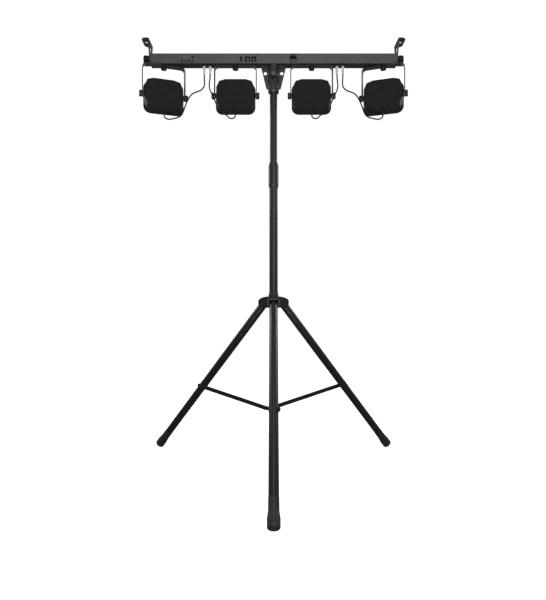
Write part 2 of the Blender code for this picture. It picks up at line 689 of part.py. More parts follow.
def smooth_line(points, spacing):
    """Evenly spaced points on a smooth curve through the given ones."""
    points = [Vector(p) for p in points]
    ends = [2 * points[0] - points[1], *points, 2 * points[-1] - points[-2]]
    fine = []
    for a, b, c, d in zip(ends, ends[1:], ends[2:], ends[3:]):
        for i in range(12):
            t = i / 12
            fine.append(0.5 * (
                2 * b + (c - a) * t + (2 * a - 5 * b + 4 * c - d) * t * t
                + (3 * b - a - 3 * c + d) * t ** 3
            ))
    fine.append(points[-1])
    lengths = [0.0]
    for a, b in zip(fine, fine[1:]):
        lengths.append(lengths[-1] + (b - a).length)
    count = round(lengths[-1] / spacing)
    line, k = [], 0
    for i in range(count + 1):
        want = lengths[-1] * i / count
        while k < len(fine) - 2 and lengths[k + 1] < want:
            k += 1
        share = (want - lengths[k]) / (lengths[k + 1] - lengths[k])
        line.append(fine[k].lerp(fine[k + 1], min(1.0, share)))
    return line


def gland_mouth(x, yaw):
    """Where a lamp's cable meets its gland, measured from the mast's axis, and the way out of it."""
    tilt = Matrix.Rotation(math.radians(LAMP_TILT), 3, "X")
    turn = Matrix.Rotation(math.radians(yaw), 3, "Z") @ tilt
    out = turn @ Vector((0, 0, -1))
    mouth = Vector((x, 0, TILT_Z)) + turn @ Vector((0, 0, GLAND_Z))
    return mouth + out * (GLAND_LONG + GAP), out


def make_cable(root, number, x, yaw):
    """A lamp's own lead, from the bar to its shell."""
    outer = number in (1, 4)
    side = -1 if x < 0 else 1
    route = [(-side * px, py, pz) for px, py, pz in (OUTER_ROUTE if outer else INNER_ROUTE)]
    mouth, out = gland_mouth(x, yaw)
    route += [tuple(mouth + out * 0.009), tuple(mouth)]
    line = smooth_line(route, CABLE_R * 4.4)
    curve = bpy.data.curves.new(f"lamp_{number}_cable", "CURVE")
    curve.dimensions = "3D"
    curve.bevel_depth = CABLE_R
    curve.bevel_resolution = 2
    curve.use_fill_caps = True
    spline = curve.splines.new("POLY")
    spline.points.add(len(line) - 1)
    for point, place in zip(spline.points, line):
        point.co = (*place, 1)
    curve.materials.append(look("black_rubber"))
    cable = bpy.data.objects.new(f"lamp_{number}_cable", curve)
    bpy.context.collection.objects.link(cable)
    cable.parent = root


def build():
    clear_scene()
    root = frame("mast_root", None, (0, MAST_Y, 0))
    inner = make_mast(root)
    make_brace_collar(root)
    hub = make_hub(root)
    for side, azimuth in LEG_AZIMUTHS.items():
        make_leg(hub, side, azimuth)
        make_brace(root, side, azimuth)
    bar = frame("bar_swivel", inner)
    make_socket(bar)
    make_bar(bar)
    make_control_panel(bar)
    make_power_panel(bar)
    make_signal_socket(bar)
    for side, name in ((-1, "left"), (1, "right")):
        make_bracket(bar, side, name)
        make_cable_entry(bar, side, name)
    for number, (x, yaw) in enumerate(zip(LAMP_X, LAMP_YAW), 1):
        pan = frame(f"lamp_{number}_pan", bar, (x, 0, BAR_LOW), (0, 0, math.radians(yaw)))
        make_yoke(pan, number)
        make_lamp(pan, number)
        make_cable(bar, number, x, yaw)
    bpy.context.view_layer.update()


build()
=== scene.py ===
"""Studio scene of a four-lamp light bar on a folding tripod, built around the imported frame.

Metres, +Z up. +X runs along the bar, the lamps shine towards +Y and the sockets face -Y.
"""

import json
import math

import bmesh
import bpy
from mathutils import Matrix, Vector


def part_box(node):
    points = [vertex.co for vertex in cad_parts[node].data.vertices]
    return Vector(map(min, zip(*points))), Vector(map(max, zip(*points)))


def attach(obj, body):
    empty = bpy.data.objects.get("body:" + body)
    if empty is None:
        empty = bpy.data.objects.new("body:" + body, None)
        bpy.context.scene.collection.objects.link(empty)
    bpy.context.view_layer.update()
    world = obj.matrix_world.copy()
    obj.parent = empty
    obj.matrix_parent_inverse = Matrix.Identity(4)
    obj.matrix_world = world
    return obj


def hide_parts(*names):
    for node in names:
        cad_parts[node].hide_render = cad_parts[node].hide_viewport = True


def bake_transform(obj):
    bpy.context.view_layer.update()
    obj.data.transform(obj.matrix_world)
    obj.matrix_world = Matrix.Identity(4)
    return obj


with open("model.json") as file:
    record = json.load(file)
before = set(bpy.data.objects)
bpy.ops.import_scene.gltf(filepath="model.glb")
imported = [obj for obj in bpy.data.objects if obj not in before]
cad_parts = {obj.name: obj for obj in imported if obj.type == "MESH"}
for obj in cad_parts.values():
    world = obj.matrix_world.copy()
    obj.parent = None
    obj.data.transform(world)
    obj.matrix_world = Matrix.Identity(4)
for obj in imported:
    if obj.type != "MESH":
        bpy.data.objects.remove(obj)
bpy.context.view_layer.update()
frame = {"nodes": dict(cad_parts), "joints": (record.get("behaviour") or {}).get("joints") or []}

JOINTS = {joint["name"]: joint for joint in frame["joints"]}
BOX = {name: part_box(name) for name in frame["nodes"]}


def pivot(joint):
    """A joint's place at rest."""
    return Vector(JOINTS[joint]["pos_m"])


def heights(node):
    """A node's lowest and highest point at rest."""
    return [corner.z for corner in BOX[node]]


MAST_Y = pivot("bar_swivel").y
MAST = Vector((0, MAST_Y, 0))
ON_MAST = Matrix.Translation(MAST)
GAP = 0.0003
BACK, AHEAD, DOWN = (0, -1, 0), (0, 1, 0), (0, 0, -1)

# ---- shapes, each returned as a bmesh ----


def polar(radius, degrees):
    angle = math.radians(degrees)
    return radius * math.cos(angle), radius * math.sin(angle)


def soften(points, radius, steps=3, closed=False):
    """The same outline with its corners rounded, less where the runs between them are short."""
    result = []
    for i, point in enumerate(points):
        if not closed and i in (0, len(points) - 1):
            result.append(tuple(point))
            continue
        here = Vector(point)
        before = Vector(points[i - 1]) - here
        after = Vector(points[(i + 1) % len(points)]) - here
        reach = min(radius, before.length * 0.45, after.length * 0.45)
        start, end = here + before.normalized() * reach, here + after.normalized() * reach
        for k in range(steps + 1):
            t = k / steps
            result.append(tuple(start * (1 - t) ** 2 + here * 2 * t * (1 - t) + end * t * t))
    return result


def lathe(profile, steps=64):
    """A section of (radius, height) points turned about Z. One that starts off the axis is a closed ring."""
    bm = bmesh.new()
    verts = [bm.verts.new((radius, 0, height)) for radius, height in profile]
    edges = [bm.edges.new(pair) for pair in zip(verts, verts[1:])]
    if profile[0][0] > 0:
        edges.append(bm.edges.new((verts[-1], verts[0])))
    bmesh.ops.spin(
        bm, geom=verts + edges, cent=(0, 0, 0), axis=(0, 0, 1),
        angle=math.tau, steps=steps, use_merge=True,
    )
    bmesh.ops.remove_doubles(bm, verts=bm.verts, dist=1e-6)
    bmesh.ops.recalc_face_normals(bm, faces=bm.faces)
    return bm


def arc(centre, radius, start, end, steps):
    """Points round a circle, both ends included. Angles are in degrees."""
    points = []
    for i in range(steps + 1):
        x, y = polar(radius, start + (end - start) * i / steps)
        points.append((centre[0] + x, centre[1] + y))
    return points


def circle(centre, radius, steps=32):
    return arc(centre, radius, 0, 360, steps)[:-1]


def rectangle(a, b, radius=0.0, steps=4):
    """A rectangle's outline from two (low, high) pairs, with round corners."""
    corners = [(a[1], b[1]), (a[0], b[1]), (a[0], b[0]), (a[1], b[0])]
    return soften(corners, radius, steps, closed=True) if radius else corners


def bevel(bm, edges, width, steps):
    bmesh.ops.bevel(
        bm, geom=edges, offset=width, segments=steps, profile=0.5, affect="EDGES", clamp_overlap=True,
    )


def plate(outline, low, high, along="Z", holes=(), edge=0.0004, steps=2):
    """A flat shape with holes and rounded rims, extruded from low to high along an axis."""
    axis = "XYZ".index(along)
    bm = bmesh.new()
    for loop in (outline, *holes):
        verts = []
        for a, b in loop:
            point = [a, b]
            point.insert(axis, low)
            verts.append(bm.verts.new(point))
        for pair in zip(verts, verts[1:] + verts[:1]):
            bm.edges.new(pair)
    if holes:
        bmesh.ops.triangle_fill(bm, edges=bm.edges[:], use_beauty=True)
    else:
        bm.faces.new(verts)
    grown = bmesh.ops.extrude_face_region(bm, geom=bm.faces[:])["geom"]
    raised = [v for v in grown if isinstance(v, bmesh.types.BMVert)]
    bmesh.ops.translate(bm, verts=raised, vec=Vector([(high - low) * (i == axis) for i in range(3)]))
    bmesh.ops.recalc_face_normals(bm, faces=bm.faces)
    if edge:
        bevel(bm, [
            e for e in bm.edges
            if abs(e.verts[0].co[axis] - e.verts[1].co[axis]) < 1e-7 and e.calc_face_angle(0) > 1
        ], edge, steps)
    return bm


def block(x, y, z, edge=0.0004, steps=2):
    """A box from three (low, high) pairs, with all its edges rounded."""
    bm = plate(rectangle(x, y), *z, edge=0)
    if edge:
        bevel(bm, bm.edges[:], edge, steps)
    return bm


def loft(loops, closed=False):
    """A skin through loops of as many points each, capped at both ends, or joined up as a ring."""
    bm = bmesh.new()
    rows = [[bm.verts.new(point) for point in loop] for loop in loops]
    pairs = list(zip(rows, rows[1:]))
    if closed:
        pairs.append((rows[-1], rows[0]))
    else:
        bm.faces.new(rows[0])
        bm.faces.new(rows[-1])
    for first, second in pairs:
        for i in range(len(first)):
            j = (i + 1) % len(first)
            bm.faces.new((first[i], first[j], second[j], second[i]))
    bmesh.ops.recalc_face_normals(bm, faces=bm.faces)
    return bm


def cross_section(middle, across, up, radius, sides):
    """A circle of points round a line."""
    turns = [polar(radius, 360 * k / sides) for k in range(sides)]
    return [middle + across * a + up * b for a, b in turns]


def sweep(points, radius, sides=16):
    """A round tube along a line of points."""
    across = (points[1] - points[0]).orthogonal().normalized()
    loops = []
    last = len(points) - 1
    for i, point in enumerate(points):
        ahead = (points[min(i + 1, last)] - points[max(i - 1, 0)]).normalized()
        across = (across - ahead * across.dot(ahead)).normalized()
        loops.append(cross_section(point, across, ahead.cross(across), radius, sides))
    return loft(loops)


def joined(shapes):
    """Several shapes in one bmesh."""
    whole = bmesh.new()
    for shape in shapes:
        mesh = bpy.data.meshes.new("joined")
        shape.to_mesh(mesh)
        shape.free()
        whole.from_mesh(mesh)
        bpy.data.meshes.remove(mesh)
    return whole


def moved(shape, place=(0, 0, 0), towards=None, turn=None):
    """Turns a shape's +Z to a direction, or turns it by a matrix, and moves it to a place."""
    matrix = Matrix.Identity(4)
    if towards is not None:
        matrix = Vector((0, 0, 1)).rotation_difference(Vector(towards)).to_matrix().to_4x4()
    if turn is not None:
        matrix = turn @ matrix
    shape.transform(Matrix.Translation(place) @ matrix)
    return shape


def linked(name, data):
    """A new object in the scene."""
    made = bpy.data.objects.new(name, data)
    bpy.context.scene.collection.objects.link(made)
    return made


def carve(shape, tools, operation="DIFFERENCE"):
    """The shape with the tools cut away from it, or what it shares with them."""
    made = []
    for number, solid in enumerate([shape, *tools]):
        mesh = bpy.data.meshes.new(f"carve_{number}")
        solid.to_mesh(mesh)
        solid.free()
        made.append(linked(mesh.name, mesh))
    for tool in made[1:]:
        cut = made[0].modifiers.new("cut", "BOOLEAN")
        cut.operation = operation
        cut.object = tool
    evaluated = made[0].evaluated_get(bpy.context.evaluated_depsgraph_get())
    result = bmesh.new()
    result.from_mesh(evaluated.to_mesh())
    evaluated.to_mesh_clear()
    for temporary in made:
        mesh = temporary.data
        bpy.data.objects.remove(temporary)
        bpy.data.meshes.remove(mesh)
    return result


def round_edges(bm, width, steps=2, above=35):
    """Rounds the edges that are sharper than an angle, in degrees."""
    bmesh.ops.remove_doubles(bm, verts=bm.verts, dist=2e-6)
    bmesh.ops.dissolve_limit(
        bm, angle_limit=math.radians(0.5), verts=bm.verts, edges=bm.edges, delimit=set()
    )
    sharp = [e for e in bm.edges if e.is_manifold and e.calc_face_angle(0) > math.radians(above)]
    bevel(bm, sharp, width, steps)
    return bm


def screw(radius):
    """A dome-headed screw with a six-sided recess, standing on its own XY plane."""
    loops = []
    for size, height, hexagonal in (
        (1, 0, False), (1, 0.3, False), (0.88, 0.52, False), (0.62, 0.66, False),
        (0.46, 0.68, True), (0.42, 0.2, True),
    ):
        loop = []
        for turn in range(0, 360, 15):
            flat = math.cos(math.radians(30)) / math.cos(math.radians(turn % 60 - 30)) if hexagonal else 1
            loop.append((*polar(radius * size * flat, turn), radius * height))
        loops.append(loop)
    return loft(loops)


def screws(radius, places, towards):
    return [moved(screw(radius), place, towards) for place in places]


def ring(inner, outer, low, high, edge, steps=40):
    """A ring of rectangular section with rounded corners."""
    section = [(inner, low), (outer, low), (outer, high), (inner, high)]
    return lathe(soften(section, edge, 2, closed=True), steps)


def washer(outer, inner, thick):
    return ring(inner, outer, 0, thick, thick * 0.3)


def rod(radius, low, high, steps=48, edge=0.0):
    """A disc or pin along Z, with its rims rounded if they are given a radius."""
    section = [(0, low), (radius, low), (radius, high), (0, high)]
    return lathe(soften(section, edge) if edge else section, steps)


def rivet(shank, low, high, head, dome):
    """A pin from low to high along Z with a domed head on top."""
    rim = 0.0004
    profile = [(0, low), (shank - 0.0003, low), (shank, low + 0.0003), (shank, high), (head, high)]
    for angle in range(0, 90, 15):
        across, up = polar(1, angle)
        profile.append((head * across, high + rim + (dome - rim) * up))
    return lathe([*profile, (0, high + dome)], 40)


def knob(radius, thick, stem, flutes):
    """A fluted clamp knob on its own Z axis: a stem, a narrow neck, a fluted rim and a dished face."""
    deepest = radius * 0.075
    count = flutes * 6
    loops = []
    # Radius and height as shares of the knob's own, and how deep the flutes are there.
    for size, height, depth in (
        (0.84, GAP / thick, 0), (0.85, 0.11, 0), (0.94, 0.14, 0), (0.98, 0.2, 0.6), (1, 0.27, 1),
        (1, 0.84, 1), (0.98, 0.92, 0.8), (0.93, 0.975, 0.4), (0.86, 1, 0), (0.74, 1, 0),
        (0.7, 0.97, 0), (0.66, 0.93, 0), (0.05, 0.93, 0),
    ):
        loop = []
        for k in range(count):
            turn = 360 * k / count
            dip = (0.5 - 0.5 * math.cos(math.radians(turn * flutes))) ** 2
            loop.append((*polar(radius * size - deepest * depth * dip, turn), thick * height))
        loops.append(loop)
    shaft = lathe([(0, -stem), (0.0034, -stem), (0.0037, -stem + 0.0004), (0.0037, 0.001), (0, 0.001)], 32)
    return joined([loft(loops), shaft])


# ---- materials ----


def fill(node, inputs):
    """Sets a node's inputs. An output is linked to its input, and anything else is its value."""
    for name, value in inputs.items():
        if isinstance(value, bpy.types.NodeSocket):
            node.id_data.links.new(value, node.inputs[name])
        else:
            node.inputs[name].default_value = value


def add_node(tree, kind, inputs, output=0, **settings):
    """A new node's output."""
    node = tree.nodes.new("ShaderNode" + kind)
    for name, value in settings.items():
        setattr(node, name, value)
    fill(node, inputs)
    return node.outputs[output]


def surface(
    name, colour, roughness, metallic=0.0, mottle=0.15, spread=0.06, grain=900.0, depth=0.00004,
    drawn=1.0, coat=0.0, specular=0.5, wear=None,
):
    """A finish: broad colour variation, uneven gloss, fine grain as bump, and paler worn edges if asked."""
    made = bpy.data.materials.new(name)
    made.use_nodes = True
    tree = made.node_tree
    place = add_node(tree, "TexCoord", {}, "Object")
    place = add_node(tree, "Mapping", {"Vector": place, "Scale": (1, 1, drawn)})

    def noise(scale, detail=4.0, rough=0.55):
        return add_node(tree, "TexNoise", {
            "Vector": place, "Scale": scale, "Detail": detail, "Roughness": rough,
        })

    def remap(value, low, high, start=0.3, end=0.7):
        return add_node(tree, "MapRange", {
            "Value": value, "From Min": start, "From Max": end, "To Min": low, "To Max": high,
        })

    def mix(share, first, second):
        return add_node(tree, "Mix", {"Factor": share, "A": first, "B": second}, "Result", data_type="RGBA")

    def shade(factor):
        return (*[min(1.0, c * factor) for c in colour], 1)

    tint = mix(remap(noise(14.0), 0, 1), shade(1 - mottle), shade(1 + mottle))
    speck = remap(noise(grain * 0.4, 2.0), 0, 1)
    tint = mix(remap(speck, 0, 0.35), tint, shade(1 + 2 * mottle))
    if wear:
        rounded = add_node(tree, "Bevel", {"Radius": 0.0009}, samples=4)
        flat = add_node(tree, "NewGeometry", {}, "Normal")
        agree = add_node(tree, "VectorMath", {0: rounded, 1: flat}, "Value", operation="DOT_PRODUCT")
        edges = remap(agree, 0, 1, 0.985, 0.9)
        patchy = add_node(tree, "Math", {0: edges, 1: remap(noise(120.0), 0, 0.8)}, operation="MULTIPLY")
        tint = mix(patchy, tint, (*wear, 1))
    grained = add_node(tree, "Bump", {
        "Strength": 0.6, "Distance": depth, "Height": noise(grain, 3.0, 0.6),
    })
    fill(tree.nodes["Principled BSDF"], {
        "Base Color": tint, "Roughness": remap(noise(55.0), roughness - spread, roughness + spread),
        "Metallic": metallic, "Coat Weight": coat, "Coat Roughness": 0.25,
        "Specular IOR Level": specular, "Normal": grained,
    })
    return made


SATIN = surface("satin_paint", (0.02, 0.02, 0.021), 0.38, mottle=0.12, grain=700, depth=0.00001,
                drawn=0.25, wear=(0.075, 0.075, 0.078))
CAST = surface("hammered_paint", (0.017, 0.017, 0.018), 0.44, mottle=0.14, grain=420, depth=0.00003,
               wear=(0.06, 0.06, 0.063))
YOKE = surface("yoke_paint", (0.018, 0.018, 0.019), 0.36, mottle=0.12, grain=700, depth=0.00001)
GREY = surface("grey_powder_coat", (0.071, 0.071, 0.073), 0.5, mottle=0.08, grain=1400,
               wear=(0.09, 0.09, 0.09))
PLASTIC = surface("moulded_black_plastic", (0.009, 0.009, 0.01), 0.55, grain=1600, depth=0.00003,
                  specular=0.32)
RUBBER = surface("black_rubber", (0.042, 0.042, 0.043), 0.44, mottle=0.2, grain=500, depth=0.00003)
CABLE = surface("cable_sheath", (0.008, 0.008, 0.009), 0.6, mottle=0.2, grain=800, depth=0.00003,
                specular=0.22)
LAMP = surface("textured_lamp_paint", (0.0092, 0.0092, 0.0097), 0.64, mottle=0.16, grain=1100,
               depth=0.00005, specular=0.24)
SOCKET = surface("socket_paint", (0.031, 0.031, 0.032), 0.24, mottle=0.12, spread=0.03, grain=700,
                 depth=0.00001, specular=1.0)
GUSSET = surface("gusset_paint", (0.022, 0.022, 0.023), 0.44, mottle=0.12, grain=700, depth=0.00001)
PALE = surface("pale_relief_plastic", (0.62, 0.62, 0.61), 0.42, mottle=0.06, grain=600)
DARK_STEEL = surface("blackened_steel", (0.045, 0.045, 0.048), 0.36, metallic=0.6, mottle=0.2,
                     depth=0.00003)
NICKEL = surface("nickel_contacts", (0.16, 0.16, 0.15), 0.38, metallic=1.0, depth=0.00002)
GLASS = surface("display_window", (0.15, 0.154, 0.158), 0.2, mottle=0.05, spread=0.03, grain=300,
                depth=0.000005, coat=0.5)
BUTTON = surface("button_plastic", (0.007, 0.007, 0.008), 0.42, mottle=0.1, grain=1600, depth=0.00003)
REFLECTOR = surface("lens_board", (0.02, 0.02, 0.022), 0.3, mottle=0.1, grain=600, depth=0.00002)
OPTIC = surface("led_optics", (0.86, 0.88, 0.9), 0.08, mottle=0.04, spread=0.03, grain=260, depth=0.00001)
fill(OPTIC.node_tree.nodes["Principled BSDF"], {"IOR": 1.49, "Transmission Weight": 0.85})
DIES = {
    name: surface(f"led_{name}_die", colour, 0.35, mottle=0.1, grain=700, depth=0.00001)
    for name, colour in (
        ("red", (0.5, 0.1, 0.06)), ("green", (0.12, 0.42, 0.14)), ("blue", (0.1, 0.16, 0.5)),
    )
}


def piece(name, shape, body, finish, replaces=(), at=None):
    """A named mesh, of one shape or a list of them, that moves with a body and stands for CAD nodes."""
    if isinstance(shape, list):
        shape = joined(shape)
    if at is not None:
        moved(shape, turn=at)
    mesh = bpy.data.meshes.new(name)
    shape.to_mesh(mesh)
    shape.free()
    mesh.materials.append(finish)
    mesh.shade_smooth()
    mesh.set_sharp_from_angle(angle=math.radians(40))
    made = linked(name, mesh)
    made.modifiers.new("even_normals", "WEIGHTED_NORMAL").keep_sharp = True
    if body:
        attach(made, body)
    if replaces:
        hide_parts(*replaces)
    return made


# ---- camera, light and floor ----

VIEW_BACK = 2.0            # the camera stands this far behind the mast
VIEW_HIGH = 0.6196
VIEW_SIDE = -0.0021
WHITE = (1, 1, 1, 1)


def make_camera():
    data = bpy.data.cameras.new("camera")
    data.sensor_width = 36
    data.lens = 30.667
    data.shift_y = 0.014
    camera = linked("camera", data)
    camera.location = (VIEW_SIDE, MAST_Y - VIEW_BACK, VIEW_HIGH)
    camera.rotation_euler = (math.radians(90), 0, 0)
    bpy.context.scene.camera = camera


def make_light(name, place, size, power, aim=(0, 0.15, 0.9), spread=180):
    """A soft box that faces a point on the object."""
    data = bpy.data.lights.new(name, "AREA")
    data.shape = "RECTANGLE"
    data.size, data.size_y = size
    data.energy = power
    data.spread = math.radians(spread)
    light = linked(name, data)
    light.location = place
    light.rotation_euler = (Vector(aim) - Vector(place)).to_track_quat("-Z", "Y").to_euler()
    light.visible_camera = False


def make_stage():
    floor = linked("floor", bpy.data.meshes.new("floor"))
    bm = bmesh.new()
    bmesh.ops.create_grid(bm, x_segments=4, y_segments=4, size=30)
    bm.to_mesh(floor.data)
    bm.free()
    paint = surface("studio_floor", (0.93, 0.93, 0.93), 0.85, mottle=0.004, grain=4, depth=0.0001)
    # A glow in the paint keeps the floor as pale as the backdrop, all the way to the horizon.
    fill(paint.node_tree.nodes["Principled BSDF"], {"Emission Color": WHITE, "Emission Strength": 1.0})
    floor.data.materials.append(paint)
    # The floor is seen and takes shadows, but doesn't light the object from below.
    floor.visible_glossy = False
    floor.visible_diffuse = False

    world = bpy.data.worlds.new("studio")
    bpy.context.scene.world = world
    world.use_nodes = True
    tree = world.node_tree
    ambient = tree.nodes["Background"]
    fill(ambient, {"Color": WHITE, "Strength": 0.13})
    backdrop = add_node(tree, "Background", {"Color": WHITE, "Strength": 1.05})
    seen = add_node(tree, "LightPath", {}, "Is Camera Ray")
    lit = add_node(tree, "MixShader", {"Fac": seen, 1: ambient.outputs["Background"], 2: backdrop})
    fill(tree.nodes["World Output"], {"Surface": lit})

    make_light("key_softbox", (0.6, -2.9, 1.3), (1.3, 1.5), 21)
    make_light("low_softbox", (0, -1.0, 0.08), (1.8, 0.4), 6, aim=(0, 0.12, 1.45), spread=70)
    for way in (-1, 1):
        make_light(f"side_softbox_{way}", (way * 2.0, 1.1, 1.9), (0.7, 1.2), 17, aim=(0, -0.2, 0.35))
    make_light("top_softbox", (0, -1.5, 3.0), (0.8, 0.6), 9, aim=(0, -0.45, 0.1))
    make_light("rear_softbox", (0, 3.6, 2.0), (3.0, 2.0), 14)
    bpy.context.scene.view_settings.view_transform = "Standard"


make_camera()
make_stage()

# ---- lamp cables ----

LAMPS = (1, 2, 3, 4)
BAR_LOW, BAR_HIGH = heights("bar_housing")
BAR_HALF, BAR_DEEP = BOX["bar_housing"][1].x, BOX["bar_housing"][1].y - MAST_Y
BAR_MID = (BAR_LOW + BAR_HIGH) / 2
LAMP_TILT = math.radians(-13)
SHELL_BACK, BEZEL_FRONT = -0.022, 0.024
GLAND_PLACE = Vector((0, 0, -0.0625))
GLAND_LONG = 0.019
CABLE_R = 0.00265
OUTER_SPLIT, INNER_SPLIT = 1.412, 1.45     # how high each cable's two lengths meet

# Routes of the left-hand lamps' cables, from the bar's strain relief to the lamp's gland,
# measured from the mast's axis. The right-hand ones are their mirror images.
OUTER_ROUTE = [
    (-0.271, 0, 1.5349), (-0.2706, -0.0005, 1.5172), (-0.2698, -0.002, 1.499),
    (-0.2719, -0.006, 1.4833), (-0.2817, -0.011, 1.4695), (-0.2965, -0.015, 1.4612),
    (-0.312, -0.018, 1.4533), (-0.3238, -0.018, 1.4415), (-0.3346, -0.0165, 1.4247),
    (-0.3425, -0.0175, 1.4049), (-0.3483, -0.024, 1.3828), (-0.355, -0.033, 1.3634),
    (-0.3675, -0.0385, 1.352), (-0.385, -0.039, 1.3475), (-0.4005, -0.034, 1.347),
    (-0.413, -0.0265, 1.352),
]
INNER_ROUTE = [
    (-0.2481, 0, 1.5349), (-0.249, 0.0005, 1.5205), (-0.2509, 0.002, 1.5064),
    (-0.2521, 0.006, 1.4925), (-0.2503, 0.013, 1.4797), (-0.2437, 0.022, 1.4668),
    (-0.2365, 0.029, 1.452), (-0.229, 0.0345, 1.436), (-0.2235, 0.037, 1.419),
    (-0.2175, 0.0362, 1.405), (-0.2085, 0.0335, 1.3955), (-0.198, 0.03, 1.391),
    (-0.1885, 0.0245, 1.3865), (-0.1817, 0.0165, 1.3785), (-0.1767, 0.006, 1.3695),
    (-0.1717, -0.0045, 1.3625), (-0.165, -0.013, 1.358), (-0.1575, -0.0183, 1.356),
]


def lamp_yaw(number):
    axis = JOINTS[f"lamp_{number}_tilt"]["axis"]
    return math.atan2(axis[1], axis[0])


def yoke_place(number):
    """From a yoke's own axes to the row frame: its origin is on the bar's underside."""
    pan = pivot(f"lamp_{number}_pan")
    return Matrix.Translation((pan.x, pan.y, BAR_LOW)) @ Matrix.Rotation(lamp_yaw(number), 4, "Z")


def lamp_place(number):
    """From a lamp's own axes to the row frame: its origin is on the tilt axis."""
    turn = Matrix.Rotation(lamp_yaw(number), 4, "Z") @ Matrix.Rotation(LAMP_TILT, 4, "X")
    return Matrix.Translation(pivot(f"lamp_{number}_tilt")) @ turn


def smooth_line(points, spacing):
    """Evenly spaced points on a smooth curve through the given ones."""
    ends = [2 * points[0] - points[1], *points, 2 * points[-1] - points[-2]]
    fine = []
    for a, b, c, d in zip(ends, ends[1:], ends[2:], ends[3:]):
        for i in range(12):
            t = i / 12
            fine.append(0.5 * (
                2 * b + (c - a) * t + (2 * a - 5 * b + 4 * c - d) * t * t
                + (3 * b - a - 3 * c + d) * t ** 3
            ))
    fine.append(points[-1])
    lengths = [0.0]
    for a, b in zip(fine, fine[1:]):
        lengths.append(lengths[-1] + (b - a).length)
    count = round(lengths[-1] / spacing)
    line, k = [], 0
    for i in range(count + 1):
        want = lengths[-1] * i / count
        while k < len(fine) - 2 and lengths[k + 1] < want:
            k += 1
        share = (want - lengths[k]) / (lengths[k + 1] - lengths[k])
        line.append(fine[k].lerp(fine[k + 1], min(1.0, share)))
    return line


def make_cable(number):
    """A lamp's lead in two lengths that meet beside its yoke."""
    outer = number in (1, 4)
    side = -1 if number < 3 else 1
    route = [MAST + Vector((-side * x, y, z)) for x, y, z in (OUTER_ROUTE if outer else INNER_ROUTE)]
    out = lamp_place(number).to_3x3() @ Vector(DOWN)
    mouth = lamp_place(number) @ GLAND_PLACE + out * (GLAND_LONG + GAP)
    line = smooth_line([*route, mouth + out * 0.009, mouth], CABLE_R * 1.6)
    # The lengths meet above the tilt knob.
    half = next(i for i, point in enumerate(line) if point.z < (OUTER_SPLIT if outer else INNER_SPLIT))
    yoke, lamp = f"lamp_{number}_yoke", f"lamp_{number}"
    lengths = (
        ("upper", line[:half + 1], "bar", yoke), ("lower", line[half:], yoke, lamp),
    )
    for name, part, first, second in lengths:
        lead = piece(f"lamp_{number}_cable_{name}", sweep(part, CABLE_R), None, CABLE)
        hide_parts(f"lamp_{number}_cable")
        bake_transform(lead)


for number in LAMPS:
    make_cable(number)

# ---- mast ----

TUBE_SWELL = 0.0005
OUTER_R = BOX["mast_outer_tube"][1].x + TUBE_SWELL
INNER_R = BOX["mast_inner_tube"][1].x + TUBE_SWELL
COLLAR_R = 0.0198
BRACE_COLLAR_R = 0.0195


def make_tube(name, radius, wall, body, replaced):
    tube = ring(radius - wall, radius, *heights(replaced), 0.0005, 72)
    piece(name, tube, body, SATIN, [replaced], ON_MAST)


def make_knob(name, body, radius, thick, stem, base=0.0, flutes=16):
    """A knob on its joint's axis. base is how far its neck starts from the joint's place."""
    joint = body + "_turn"
    axis = Vector(JOINTS[joint]["axis"])
    shape = moved(knob(radius, thick - base, stem, flutes), pivot(joint) + axis * base, axis)
    piece(name, shape, body, PLASTIC, [body])


def clamp_boss(outline, floor, joint):
    """A boss on the mast's hidden side, bored down to a floor for the stem of the knob that turns in it."""
    bore = 0.0046
    profile = [(0, outline[0][1]), *outline, (bore, outline[-1][1]), (bore, floor), (0, floor)]
    return moved(lathe(soften(profile, 0.0006), 48), (0, MAST_Y, pivot(joint).z), AHEAD)


